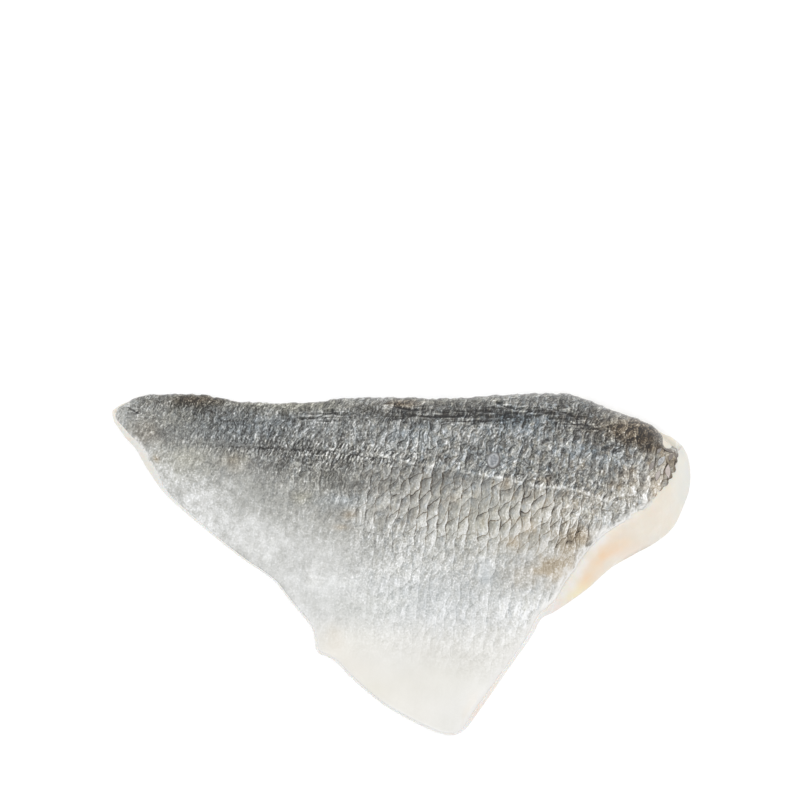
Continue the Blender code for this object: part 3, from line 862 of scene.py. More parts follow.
def muscle_waves(x, y):
    """Counts the muscle segments towards the head: whole numbers lie on the walls between them."""
    from_spine = np.abs(y - (lateral_line_y(x) - SPINE_BELOW_LINE))
    fold = 3.5 * np.abs(((from_spine / 11.0) % 2) - 1)
    return (x + fold + 0.35 * from_spine + 1.2 * soft_noise(x, y, 9.0, 41)) / MUSCLE_PITCH


def cavity_share(x, y):
    """1 in the hollow of the belly, 0 outside it."""
    east, north = x - CAVITY_CENTRE[0], y - CAVITY_CENTRE[1]
    cosine, sine = math.cos(CAVITY_TURN), math.sin(CAVITY_TURN)
    along = (east * cosine + north * sine) / CAVITY_HALF_AXES[0]
    across = (north * cosine - east * sine) / CAVITY_HALF_AXES[1]
    return 1 - smooth_step(np.hypot(along, across), 0.5, 1.0)


def spine_share(x, y):
    """1 in the groove that the backbone leaves."""
    away = (y - (lateral_line_y(x) - SPINE_BELOW_LINE)) / 3.0
    reach = smooth_step(x, -70.0, -40.0) * (1 - smooth_step(x, 62.0, 76.0))
    return np.exp(-(away**2)) * reach


edges = split_edges(rim, FLESH_COLUMNS, FLESH_ROWS)
under = patch_between(*edges, flesh_surface[-1, :, 3], flesh_surface[0, :, 3])
under = FOOT_CENTRE + (under - FOOT_CENTRE) * FOOT_SCALE
ux, uy = under[..., 0], under[..., 1]
at_column, at_row = np.indices(ux.shape)
steps_in = np.minimum.reduce([at_column, columns - at_column, at_row, rows - at_row])
inside = smooth_step(steps_in, 0, 6)
wall = np.abs(muscle_waves(ux, uy) % 1 - 0.5) * 2
lift = np.maximum(1.0 * spine_share(ux, uy), 1.2 * cavity_share(ux, uy))
lift += 0.18 * smooth_step(wall, 0.8, 1.0) + 0.10 * (1 + soft_noise(ux, uy, 4.0, 42))
rib = np.abs(((ux * 0.8 - uy * 0.35) / RIB_PITCH) % 1 - 0.5) * 2
lift += 0.30 * smooth_step(rib, 0.7, 1.0) * cavity_share(ux, uy)
lift = np.clip(lift - 0.08, 0, None) * inside
underside, _, _ = placed_grid("underside", np.dstack([under, lift]))
edit_all()
bpy.ops.mesh.flip_normals()
select_only(flesh, underside)
bpy.ops.object.join()
edit_all()
bpy.ops.mesh.remove_doubles(threshold=0.00001)
bpy.ops.mesh.normals_make_consistent(inside=False)
bpy.ops.object.mode_set(mode="OBJECT")
bpy.ops.object.shade_smooth_by_angle(angle=math.radians(60))
print("flesh faces:", len(flesh.data.polygons))

# %% Tints of the flesh
# Patches: x, y, half width, half height, strength
ORANGE_PATCHES = [
    (62.5, 2.2, 1.5, 1.5, 0.45), (60.4, 0.8, 2.8, 2.4, 0.5), (59.2, -2.4, 2.8, 2.4, 0.5),
    (57.2, -5.2, 2.8, 2.2, 0.5), (64.5, 4.6, 4.5, 2.4, 0.45), (68.6, 6.6, 6, 3, 0.35),
    (-84.8, 38.4, 0.8, 1.6, 0.6),
]
YELLOW_PATCHES = [(57.2, -7.6, 3.4, 2, 0.9), (53.6, -10.2, 3, 1.6, 0.8)]
FILM_PATCHES = [
    (61.6, 7.8, 2.6, 2, 0.9), (68.5, 13.4, 3, 1.2, 0.5), (76, 18.8, 3, 1.4, 0.5),
    (59.2, 4.4, 1.6, 1.8, 0.8), (57, 0.6, 1.5, 1.9, 0.8), (55, -2.8, 1.5, 1.9, 0.8),
    (52.8, -6.2, 1.6, 1.9, 0.8), (50.4, -9.4, 1.6, 1.7, 0.8), (47.8, -12.4, 1.6, 1.7, 0.8),
    (45.4, -15.2, 1.4, 1.6, 0.6),
]
PINK_PATCHES = [
    (70, 3.5, 8, 3, 0.35), (62, -4.5, 5, 2.2, 0.3), (76, 12, 9, 6, 0.08), (24, -46, 3.5, 5, 0.9),
    (29, -38, 3, 4, 0.6), (-24, -28, 4, 3, 0.3), (48, -14, 4, 3, 0.7),
]
CLEAR_PATCHES = [
    (89.5, 29, 4.5, 9, 1), (88.5, 20, 3.5, 6, 0.8), (87, 36, 3, 3, 0.6), (81, 7.5, 8, 2, 0.6),
    (-84, 37, 7, 9, 1), (-76, 24, 7, 9, 0.8),
]

fx, fy, fz = coordinates_of(flesh.data).T / MM
orange = share_of_patches(ORANGE_PATCHES, fx, fy)
pink = share_of_patches(PINK_PATCHES, fx, fy)
clear = share_of_patches(CLEAR_PATCHES, fx, fy)
below = smooth_step(-fz, -1.6, -0.4) * (1 - smooth_step(fz, 1.6, 2.2))
spine = spine_share(fx, fy) * below
hollow = cavity_share(fx, fy) * below
yellow = share_of_patches(YELLOW_PATCHES, fx, fy)
filmy = share_of_patches(FILM_PATCHES, fx, fy) * (1 - below)
to_rim = np.full(fx.shape, FAR_AWAY)
for rim_x, rim_y in rim:
    to_rim = np.minimum(to_rim, np.hypot(fx - rim_x, fy - rim_y))
pale_rim = (1 - smooth_step(to_rim, 1.0, 3.0)) * smooth_step(fz, 0.05, 0.4)
pale_rim *= smooth_step(-fx, -52, -46) * (1 - 0.7 * smooth_step(-fx, 73, 79))
filmy = np.maximum(filmy, pale_rim * (1 - 0.8 * pink))
store(flesh.data, "tint", np.column_stack([orange * (1 - below), pink, clear]))
store(flesh.data, "fat", np.column_stack([yellow * (1 - below), filmy, 0 * filmy]))
store(flesh.data, "inner_side", np.column_stack([spine, hollow, muscle_waves(fx, fy)]))
print("flesh points in the orange patch:", int((orange > 0.5).sum()))

# %% [markdown]
# ## Scales that were left on
#
# At the head the knife went across the scales, and a few torn ones still stand along the cut,
# tip up, like feathers. One round scale lies loose on the back. A scale is modelled once, as a
# small disc that is pulled to a leaf, and copied. Each copy has its own mesh.

# %% One scale
SCALE_THICKNESS = 0.14
SCALE_RINGS = 3
SCALE_SIDES = 18


def make_scale(name, half_width, half_length, point, dish, rim):
    """A thin scale around the origin: its tip towards +y, dished, and closed all round.

    point says how far it narrows to its tip, and rim how wide its dark rim is."""
    deselect_all()
    bpy.ops.mesh.primitive_circle_add(
        vertices=SCALE_SIDES, radius=half_width * MM, fill_type="NGON"
    )
    disc = bpy.context.object
    disc.name = disc.data.name = name
    edit_all()
    for _ in range(SCALE_RINGS):
        bpy.ops.mesh.inset(thickness=half_width * MM / (SCALE_RINGS + 1))
    bpy.ops.mesh.poke()
    bpy.ops.object.mode_set(mode="OBJECT")
    across, along, _ = coordinates_of(disc.data).T / MM
    from_middle = np.hypot(across, along) / half_width
    side = across / half_width
    tip = np.abs(along / half_width)
    across = across * (1 - point * tip**2) + 0.3 * point * half_width * tip**2
    along = along * half_length / half_width
    height = dish * from_middle**2
    move_vertices(disc.data, np.column_stack([across, along, height]) * MM)
    shape = np.column_stack([from_middle * rim, side, along / half_length])
    store(disc.data, "scale_shape", shape)
    apply_modifier(disc, "SOLIDIFY", thickness=SCALE_THICKNESS * MM, offset=0.0)
    bpy.ops.object.shade_smooth()
    return disc


def lay_scale(scale, spot, turn, tilt, size, lift):
    """Places a scale's points on the skin at a spot, turned to a heading and tilted."""
    nearest = np.hypot(x - spot[0], y - spot[1]).argmin()
    base = skin_points.reshape(-1, 3)[nearest]
    normal = normals.reshape(-1, 3)[nearest]
    heading = np.array([math.cos(turn), math.sin(turn), 0.0])
    side = np.cross(heading, normal)
    side /= np.linalg.norm(side)
    forward = np.cross(normal, side)
    points = coordinates_of(scale.data).T / MM * size
    raised = points[2] + lift + np.clip(points[1], 0, None) * tilt
    placed = base + np.outer(points[0], side) + np.outer(points[1], forward)
    placed = placed + np.outer(raised, normal)
    move_vertices(scale.data, placed * MM)


def stain_scale(scale, tone, brown, flesh):
    """Gives a scale its own tone, brown share and flesh share."""
    count = len(scale.data.vertices)
    store(scale.data, "scale_stain", np.tile([tone, brown, flesh], (count, 1)))


lone_scale = make_scale(
    "lone_scale", half_width=2.05, half_length=2.7, point=0.12, dish=-0.06, rim=1.12
)
lay_scale(lone_scale, (28.6, 32.2), turn=1.30, tilt=0.0, size=1.0, lift=0.10)
stain_scale(lone_scale, tone=0.57, brown=0.0, flesh=0.0)
print("one scale has", len(lone_scale.data.polygons), "faces")

# %% Torn scales along the head cut
# Torn scales: x, y, heading in degrees, tilt, size, then tone, brown share and flesh share
TORN_SCALES = [
    (80.6, 32.2, 52, 0.04, 1, 0.72, 0.25, 0), (83.5, 33.2, 54, 0.06, 0.78, 0.4, 0.7, 0.1),
    (83, 35.4, 8, 0.04, 0.85, 0.28, 0.7, 0), (85.2, 34, 70, 0.06, 0.66, 0.36, 1, 0),
    (79.8, 35.2, 46, 0.05, 0.62, 0.58, 0.7, 0), (82.6, 28.6, 84, 0.03, 1.1, 0.68, 0.4, 0.5),
    (79.6, 27.6, 68, 0.03, 0.9, 0.58, 0.6, 0.3), (77.4, 30.4, 60, 0.02, 0.85, 0.52, 0.9, 0),
]

torn_scales = make_scale(
    "torn_scales", half_width=0.85, half_length=2.3, point=0.9, dish=0.05, rim=1.0
)
scales = [torn_scales]
for _ in TORN_SCALES[1:]:
    select_only(torn_scales)
    bpy.ops.object.duplicate()
    scales.append(bpy.context.object)
for scale, facts in zip(scales, TORN_SCALES):
    sx, sy, heading, tilt, size, tone_of_scale, brown_share, flesh_share = facts
    lay_scale(scale, (sx, sy), math.radians(heading), tilt, size, lift=0.04)
    stain_scale(scale, tone_of_scale, brown_share, flesh_share)
select_only(*scales)
bpy.ops.object.join()
print("torn scales:", len(TORN_SCALES))

# %% [markdown]
# ## One helper for materials
#
# A material is a small network of nodes. The helper adds a node, sets it, and links what comes
# in, so that each line below reads as one step of the recipe. Its inputs stand in the order in
# which Blender shows them: a Map Range takes a value, the range that it reads and the range that
# it gives. Colours are picked on a screen as hex values, and the renderer wants amounts of
# light, so one function turns them over. The lamps light the white floor a little past white,
# as in a catalogue picture. The pieces reflect that much less, which brings their colours back
# to the ones picked.

# %% Colours and nodes
LIGHT_SHARE = 0.81
# Makes a Map Range ease in and out
SMOOTH = {"interpolation_type": "SMOOTHSTEP"}


def linear(hex_colour):
    """An sRGB hex colour as linear light."""
    channels = [int(hex_colour[k : k + 2], 16) / 255 for k in (1, 3, 5)]
    light = [c / 12.92 if c <= 0.04045 else ((c + 0.055) / 1.055) ** 2.4 for c in channels]
    return (*light, 1.0)


def feed(tree, node, inputs):
    """Sets a node's inputs, in their order or by name, to numbers, colours or other nodes."""
    sockets = node.inputs
    if not isinstance(inputs, dict):
        sockets = [socket for socket in node.inputs if socket.enabled]
        inputs = dict(enumerate(inputs))
    for key, value in inputs.items():
        if isinstance(value, bpy.types.Node):
            value = next(output for output in value.outputs if output.enabled)
        if isinstance(value, bpy.types.NodeSocket):
            tree.links.new(value, sockets[key])
        else:
            sockets[key].default_value = value


def add_node(tree, kind, inputs=(), stops=(), **settings):
    """Adds a node with its settings and its inputs, and a colour ramp with its stops."""
    node = tree.nodes.new("ShaderNode" + kind)
    for name, value in settings.items():
        setattr(node, name, value)
    feed(tree, node, inputs)
    for _ in stops[2:]:
        node.color_ramp.elements.new(0.5)
    for k, (position, colour) in enumerate(stops):
        node.color_ramp.elements[k].position = position
        node.color_ramp.elements[k].color = linear(colour)
    return node


def new_material(name):
    """An empty material and its nodes."""
    material = bpy.data.materials.new(name)
    material.use_nodes = True
    return material, material.node_tree


def finish_material(material, pieces, colour, inputs):
    """Dims the colour for the bright lamps, feeds the shader, and dresses the pieces."""
    tree = material.node_tree
    dimmed = add_node(tree, "VectorMath", [colour, (LIGHT_SHARE,) * 3], operation="MULTIPLY")
    feed(tree, tree.nodes["Principled BSDF"], {"Base Color": dimmed, **inputs})
    for piece in pieces:
        piece.data.materials.clear()
        piece.data.materials.append(material)
    print(material.name, "has", len(tree.nodes), "nodes")


print("mid grey is", [round(c, 3) for c in linear("#808080")][:3])

# %% [markdown]
# ## The skin's material: scraped silver fish skin
#
# Bream skin is a thin wet hide. Crystals under its surface make it silver, dark pigment cells
# make the back grey, and the empty scale pockets break its shine into short strokes. That
# broken shine is painted into the colour as light and dark strokes, with painted highlights on
# the back and painted light and shade along the pocket lines. The network first finds where in
# its pocket a point lies. Rims, strokes and speckle then push the painted tone up or down, and a
# ramp turns the tone into colour.

# %% Where a point lies in its scale pocket
COLUMN_JITTER = 0.45

skin_material, tree = new_material("scraped_silver_fish_skin")
place = add_node(tree, "Attribute", attribute_name="scale_place").outputs["Vector"]
in_columns, in_rows, mm_below_line = add_node(tree, "SeparateXYZ", [place]).outputs
painted = add_node(tree, "Attribute", attribute_name="tone").outputs["Vector"]
painted_tone, painted_contrast, outline_share = add_node(tree, "SeparateXYZ", [painted]).outputs
where = add_node(tree, "TexCoord").outputs["Object"]
towards_head, _, _ = add_node(tree, "SeparateXYZ", [where]).outputs
ragged = add_node(
    tree, "TexNoise",
    {"Vector": place, "Scale": 0.9, "Detail": 1.0, "Roughness": 0.35}, noise_dimensions="2D",
)
nudge = add_node(
    tree, "VectorMath", [ragged.outputs["Color"], (0.5, 0.5, 0.5)], operation="SUBTRACT"
)
nudge = add_node(tree, "VectorMath", [nudge, (0.50, 0.55, 0.0), place], operation="MULTIPLY_ADD")
nudged_column, nudged_row, _ = add_node(tree, "SeparateXYZ", [nudge]).outputs
column = add_node(tree, "Math", [nudged_column], operation="FLOOR")
across = add_node(tree, "Math", [nudged_column, column], operation="SUBTRACT")
across = add_node(tree, "Math", [across, 0.5], operation="SUBTRACT")
column_chance = add_node(tree, "TexWhiteNoise", {"W": column}, noise_dimensions="1D")
slanted = add_node(tree, "Math", [across, POCKET_SLANT, nudged_row], operation="MULTIPLY_ADD")
slanted = add_node(tree, "Math", [column, -POCKET_STEP, slanted], operation="MULTIPLY_ADD")
slanted = add_node(tree, "Math", [column_chance, COLUMN_JITTER, slanted], operation="MULTIPLY_ADD")
row = add_node(tree, "Math", [slanted], operation="FLOOR")
along = add_node(tree, "Math", [slanted, row], operation="SUBTRACT")
along = add_node(tree, "Math", [along, 0.5], operation="SUBTRACT")
pocket_id = add_node(tree, "CombineXYZ", [column, row, 0.0])
chance = add_node(tree, "TexWhiteNoise", {"Vector": pocket_id}, noise_dimensions="2D")
end_chance, dash_chance, _ = add_node(tree, "SeparateColor", [chance.outputs["Color"]]).outputs
print("nodes so far:", len(tree.nodes))

# %% Lines between the pockets
# Light comes from the head, so each line is dark on its head side and lit on its tail side.
lit_side = add_node(tree, "MapRange", [across, 0.30, 0.42], **SMOOTH)
dark_side = add_node(tree, "MapRange", [across, -0.34, -0.46], **SMOOTH)
line_noise = add_node(
    tree, "TexNoise",
    {"Vector": place, "Scale": 2.6, "Detail": 2.0, "Roughness": 0.6}, noise_dimensions="2D",
)
line_strength = add_node(tree, "MapRange", [line_noise, 0.38, 0.60, 0.0, 1.0])
lit_strength = add_node(tree, "MapRange", [line_noise, 0.60, 0.42, 0.0, 1.0])
lit_side = add_node(tree, "Math", [lit_side, lit_strength], operation="MULTIPLY")
dark_side = add_node(tree, "Math", [dark_side, line_strength], operation="MULTIPLY")
end_line = add_node(tree, "MapRange", [along, -0.41, -0.47], **SMOOTH)
end_strength = add_node(tree, "MapRange", [end_chance, 0.1, 0.8, 0.1, 0.9])
end_line = add_node(tree, "Math", [end_line, end_strength], operation="MULTIPLY")
line = add_node(tree, "Attribute", attribute_name="line").outputs["Vector"]
pale_share, dark_share, pocket_share = add_node(tree, "SeparateXYZ", [line]).outputs
dark_rim = add_node(tree, "Math", [dark_side, end_line], operation="MAXIMUM")
dark_rim = add_node(tree, "Math", [dark_rim, pocket_share], operation="MULTIPLY")
print("nodes so far:", len(tree.nodes))

# %% Shade in the upper corner of each pocket, light on its lower edge
corner_across = add_node(tree, "MapRange", [across, 0.34, -0.42], **SMOOTH)
corner_along = add_node(tree, "MapRange", [along, 0.02, -0.44], **SMOOTH)
corner = add_node(tree, "Math", [corner_across, corner_along], operation="MULTIPLY")
corner = add_node(tree, "Math", [corner, end_strength], operation="MULTIPLY")
lit_corner = add_node(tree, "Math", [along, 0.6, across], operation="MULTIPLY_ADD")
lit_corner = add_node(tree, "MapRange", [lit_corner, -0.25, 0.6], **SMOOTH)
print("nodes so far:", len(tree.nodes))

# %% A short lit dash in each pocket of the back: a painted highlight
highlight_dash_across = add_node(tree, "Math", [along, HIGHLIGHT_DASH_LEAN, across], operation="MULTIPLY_ADD")
highlight_dash_across = add_node(tree, "Math", [dash_chance, 0.6, highlight_dash_across], operation="MULTIPLY_ADD")
highlight_dash_across = add_node(tree, "Math", [highlight_dash_across, 0.3], operation="SUBTRACT")
highlight_dash_across = add_node(tree, "Math", [highlight_dash_across], operation="ABSOLUTE")
highlight_dash = add_node(tree, "MapRange", [highlight_dash_across, 0.13, 0.03], **SMOOTH)
half_along = add_node(tree, "Math", [along], operation="ABSOLUTE")
highlight_dash_end = add_node(tree, "MapRange", [half_along, 0.32, 0.08], **SMOOTH)
highlight_dash = add_node(tree, "Math", [highlight_dash, highlight_dash_end], operation="MULTIPLY")
print("nodes so far:", len(tree.nodes))

# %% Short strokes and speckle
# The strokes are about 0.7 mm apart and 2 mm long, and lean to the head.
STROKES_ACROSS = 6.6
STROKES_ALONG = 4.0
STROKE_LEAN = 2.3
CURLS_PER_METRE = 640.0
SPECKS_PER_METRE = 1700.0

stroke_across = add_node(tree, "Math", [in_columns, STROKES_ACROSS], operation="MULTIPLY")
stroke_across = add_node(
    tree, "Math", [in_rows, STROKE_LEAN, stroke_across], operation="MULTIPLY_ADD"
)
stroke_along = add_node(tree, "Math", [in_rows, STROKES_ALONG], operation="MULTIPLY")
stroke_place = add_node(tree, "CombineXYZ", [stroke_across, stroke_along])
strokes = add_node(
    tree, "TexNoise",
    {"Vector": stroke_place, "Scale": 1.0, "Detail": 2.0, "Roughness": 0.62, "Distortion": 0.6},
)
broad_strokes = add_node(
    tree, "TexNoise",
    {"Vector": stroke_place, "Scale": 0.42, "Detail": 1.0, "Roughness": 0.5, "Distortion": 0.7},
)
# A curl is about 1.6 mm across.
curls = add_node(
    tree, "TexNoise",
    {"Vector": where, "Scale": CURLS_PER_METRE, "Detail": 2.0, "Roughness": 0.5, "Distortion": 1.3},
)
# The speckle is 0.6 mm in size, as fine as the render shows; the real one is finer.
speckle = add_node(
    tree, "TexNoise", {"Vector": where, "Scale": SPECKS_PER_METRE, "Detail": 1.0, "Roughness": 0.5}
)
print("nodes so far:", len(tree.nodes))

# %% Wrinkles beside the folds, with painted light and shade
# Lines 0.8 mm apart and 6 mm long run along the fillet where the skin is pushed together.
WRINKLES_PER_METRE = (170.0, 1250.0, 0.0)

marks = add_node(tree, "Attribute", attribute_name="marks").outputs["Vector"]
from_fold, film_and_edge_light_amount, cream_amount = add_node(tree, "SeparateXYZ", [marks]).outputs
wrinkle_place = add_node(tree, "Mapping", {"Vector": where, "Scale": WRINKLES_PER_METRE})
wrinkles = add_node(tree, "TexNoise", {"Vector": wrinkle_place, "Scale": 1.0, "Detail": 1.0})
wrinkle_share = add_node(tree, "MapRange", [from_fold, 0.8, 3.2, 1.0, 0.0])
# The wrinkles' lit and shaded sides are painted into the tone.
wrinkle_light_and_shade = add_node(tree, "MapRange", [wrinkles, 0.3, 0.7, -0.30, 0.30])
wrinkle_light_and_shade = add_node(tree, "Math", [wrinkle_light_and_shade, wrinkle_share], operation="MULTIPLY")
print("nodes so far:", len(tree.nodes))

# %% How strokes and speckle change the tone
stroke_tone = add_node(tree, "MapRange", [strokes, 0.3, 0.7, -0.22, 0.20])
# On the pale belly the strokes give way to small curls without a direction.
curl_tone = add_node(tree, "MapRange", [curls, 0.3, 0.7, -0.42, 0.30])
stroke_share = add_node(tree, "MapRange", [painted_contrast, 0.2, 0.6, 0.3, 1.0])
stroke_tone = add_node(tree, "Mix", [stroke_share, curl_tone, stroke_tone], data_type="FLOAT")
broad_tone = add_node(tree, "MapRange", [broad_strokes, 0.3, 0.7, -0.11, 0.10])
broad_tone = add_node(tree, "Math", [broad_tone, stroke_share], operation="MULTIPLY")
# Where the skin is pale the strokes fade and the speckle is what is left.
speckle_gain = add_node(tree, "MapRange", [painted_contrast, 0.3, 0.8, 0.42, 0.24])
speckle_tone = add_node(tree, "MapRange", [speckle, 0.25, 0.75, -0.5, 0.5])
speckle_tone = add_node(tree, "Math", [speckle_tone, speckle_gain], operation="MULTIPLY")
# The brightest specks of the speckle are painted highlights, glints on the wet skin.
sparkle_highlight = add_node(tree, "MapRange", [speckle, 0.64, 0.74, 0.0, 0.22])
pocket_tone = add_node(tree, "MapRange", [chance, 0, 1, -0.09, 0.09])
calm_strokes = add_node(tree, "MapRange", [outline_share, 0, 1, 1.0, 0.42])
lively = stroke_tone
for part in (broad_tone, speckle_tone, sparkle_highlight):
    lively = add_node(tree, "Math", [lively, part], operation="ADD")
lively = add_node(tree, "Math", [lively, calm_strokes], operation="MULTIPLY")
print("nodes so far:", len(tree.nodes))

# %% Pocket lines: pale dashes on the dark back, dark outlines on the pale flank
# The pale dashes are painted highlights; the dark outlines are partly brown skin and partly painted
# shade.
broken = add_node(tree, "MapRange", [broad_strokes, 0.38, 0.62, 0.02, 0.28])
back_rim = add_node(tree, "Math", [highlight_dash, broken], operation="MULTIPLY")
back_rim = add_node(tree, "Math", [dark_rim, -0.15, back_rim], operation="MULTIPLY_ADD")
rim_depth = add_node(tree, "MapRange", [broad_strokes, 0.35, 0.65, -0.55, -0.28])
flank_rim = add_node(tree, "Math", [dark_rim, rim_depth], operation="MULTIPLY")
# Each part of a pocket, with its change of tone on the back and on the flank: painted light on
# its lit side and lower edge, painted shade in its upper corner
for part, on_back, on_flank in (
    (lit_side, 0.08, 0.08), (corner, -0.22, -0.30), (lit_corner, 0.13, 0.13)
):
    part = add_node(tree, "Math", [part, pocket_share], operation="MULTIPLY")
    back_rim = add_node(tree, "Math", [part, on_back, back_rim], operation="MULTIPLY_ADD")
    flank_rim = add_node(tree, "Math", [part, on_flank, flank_rim], operation="MULTIPLY_ADD")
rim_gap = add_node(tree, "Math", [flank_rim, back_rim], operation="SUBTRACT")
rim_tone = add_node(tree, "Math", [rim_gap, outline_share, back_rim], operation="MULTIPLY_ADD")
brown_rim = add_node(tree, "Math", [dark_rim, outline_share], operation="MULTIPLY")
print("nodes so far:", len(tree.nodes))

# %% The lateral line
# A row of pale pores with a dark lower edge, which comes and goes along the fillet.
line_place = add_node(tree, "Math", [strokes, 1.0, mm_below_line], operation="MULTIPLY_ADD")
line_place = add_node(tree, "Math", [broad_strokes, 1.6, line_place], operation="MULTIPLY_ADD")
line_place = add_node(tree, "Math", [line_place, 1.3], operation="SUBTRACT")
line_away = add_node(tree, "Math", [line_place], operation="ABSOLUTE")
on_line = add_node(tree, "MapRange", [line_away, 0.15, 0.80, 0.26, 0.0])
line_breaks = add_node(tree, "MapRange", [ragged, 0.38, 0.56, 0.55, 1.0])
on_line = add_node(tree, "Math", [on_line, line_breaks], operation="MULTIPLY")
on_line = add_node(tree, "Math", [on_line, pale_share], operation="MULTIPLY")
below_away = add_node(tree, "Math", [line_place, 0.75], operation="SUBTRACT")
below_away = add_node(tree, "Math", [below_away], operation="ABSOLUTE")
under_line = add_node(tree, "MapRange", [below_away, 0.1, 0.5, -0.30, 0.0])
under_line = add_node(tree, "Math", [under_line, dark_share], operation="MULTIPLY")
stitches = add_node(tree, "MapRange", [line_noise, 0.40, 0.56, 0.2, 1.0])
under_line = add_node(tree, "Math", [under_line, stitches], operation="MULTIPLY")
line_tone = add_node(tree, "Math", [on_line, under_line], operation="ADD")
print("nodes so far:", len(tree.nodes))

# %% Stitches beside the lateral line
# Short pale strokes, 1.2 mm apart, stand along the dark half of the line like a row of stitches.
STITCH_PITCH = 1.2
STITCH_LEAN = 0.45
# Rows of stitches: their middle below the line, and half their height
STITCH_ROWS = [(1.9, 1.3), (-1.4, 0.9)]

stitch_turns = add_node(
    tree, "Math", [towards_head, 2 * math.pi / (STITCH_PITCH * MM)], operation="MULTIPLY"
)
for part, turns in ((mm_below_line, STITCH_LEAN / STITCH_PITCH), (broad_strokes, 1.5)):
    stitch_turns = add_node(
        tree, "Math", [part, 2 * math.pi * turns, stitch_turns], operation="MULTIPLY_ADD"
    )
stitch_wave = add_node(tree, "Math", [stitch_turns], operation="SINE")
stitch_wave = add_node(tree, "MapRange", [stitch_wave, -0.4, 0.9, -0.17, 0.28])
for middle, half_height in STITCH_ROWS:
    away = add_node(tree, "Math", [line_place, middle], operation="SUBTRACT")
    away = add_node(tree, "Math", [away], operation="ABSOLUTE")
    in_row = add_node(tree, "MapRange", [away, half_height * 0.6, half_height, 1.0, 0.0])
    in_row = add_node(tree, "Math", [in_row, dark_share], operation="MULTIPLY")
    in_row = add_node(tree, "Math", [in_row, stitches], operation="MULTIPLY")
    line_tone = add_node(tree, "Math", [stitch_wave, in_row, line_tone], operation="MULTIPLY_ADD")
print("nodes so far:", len(tree.nodes))

# %% All of them added to the painted tone
change = lively
for part in (pocket_tone, rim_tone, line_tone, wrinkle_light_and_shade):
    change = add_node(tree, "Math", [change, part], operation="ADD")
skin_tone = add_node(
    tree, "Math", [change, painted_contrast, painted_tone], operation="MULTIPLY_ADD"
)
print("nodes so far:", len(tree.nodes))

# %% From tone to colour
# Pigment shows in the dark places; the light ones stay silver in every tint. Each tint has
# one colour for each of these tones.
TINT_TONES = (0.0, 0.25, 0.5, 0.7, 0.85, 1.0)
TINTS = {
    "silver": ("#1b1917", "#403e3a", "#7f7f7b", "#b3b3ad", "#dadad6", "#fafaf8"),
    "steel": ("#16191b", "#3b4144", "#788389", "#a9b4bd", "#d6dce1", "#f7fafd"),
    "moss": ("#1f1e16", "#45443a", "#828073", "#b5b2a0", "#dcdacb", "#f6f5ec"),
    "bronze": ("#1b150e", "#483b2c", "#887b67", "#b8ab95", "#dcd5c8", "#f8f4ed"),
}

tinted = {}
for tint, hex_colours in TINTS.items():
    stops = list(zip(TINT_TONES, hex_colours))
    tinted[tint] = add_node(tree, "ValToRGB", [skin_tone], stops)
tints = add_node(tree, "Attribute", attribute_name="tint").outputs["Vector"]
brown_amount, olive_amount, cool_amount = add_node(tree, "SeparateXYZ", [tints]).outputs
# Stray tints come and go about twice in a pocket, and fade towards the tail.
hue_cloud = add_node(
    tree, "TexNoise",
    {"Vector": place, "Scale": 1.8, "Detail": 3.0, "Roughness": 0.65}, noise_dimensions="2D",
)
red, green, blue = add_node(tree, "SeparateColor", [hue_cloud.outputs["Color"]]).outputs
hue_share = add_node(tree, "MapRange", [towards_head, -0.02, 0.04, 0.45, 1.0])
hue_share = add_node(tree, "Math", [hue_share, painted_contrast], operation="MULTIPLY")
colour = tinted["silver"]
# Each tint: its painted amount, its stray hue, the most of that, and its share in the rims
for tint, amount, hue, most, rim_share in (
    ("steel", cool_amount, red, 0.8, 0.0), ("moss", olive_amount, green, 0.7, 0.15),
    ("bronze", brown_amount, blue, 0.45, 0.9),
):
    stray = add_node(tree, "MapRange", [hue, 0.5, 0.75, 0.0, most])
    stray = add_node(tree, "Math", [stray, hue_share], operation="MULTIPLY")
    stray = add_node(tree, "Math", [brown_rim, rim_share, stray], operation="MULTIPLY_ADD")
    amount = add_node(tree, "Math", [stray, amount], operation="ADD", use_clamp=True)
    colour = add_node(tree, "Mix", [amount, colour, tinted[tint]], data_type="RGBA")
print("nodes so far:", len(tree.nodes))

# %% [markdown]
# ## Marks on the skin
#
# The folds are almost black, because no light gets into them. Along the cut a whitish film of
# the skin's underlayer shows, and the thin belly turns to cream, because the flesh shows
# through it.

# %% Folds, film along the cut, and cream belly
FOLD_BLACK, BELLY_CREAM, WHITISH_FILM = "#1a1816", "#ece8de", "#edebe6"

fold_away = add_node(tree, "Math", [strokes, 0.4, from_fold], operation="MULTIPLY_ADD")
in_fold = add_node(tree, "MapRange", [fold_away, 0.42, 0.74, 0.95, 0.0])
cream_share = add_node(tree, "Math", [cream_amount, 0.75], operation="MULTIPLY")
film_share = add_node(tree, "MapRange", [broad_strokes, 0.35, 0.6, 0.35, 1.0])
film_share = add_node(tree, "Math", [film_and_edge_light_amount, film_share], operation="MULTIPLY")
for share, hex_colour in (
    (in_fold, FOLD_BLACK), (cream_share, BELLY_CREAM), (film_share, WHITISH_FILM)
):
    colour = add_node(tree, "Mix", [share, colour, linear(hex_colour)], data_type="RGBA")
print("nodes so far:", len(tree.nodes))

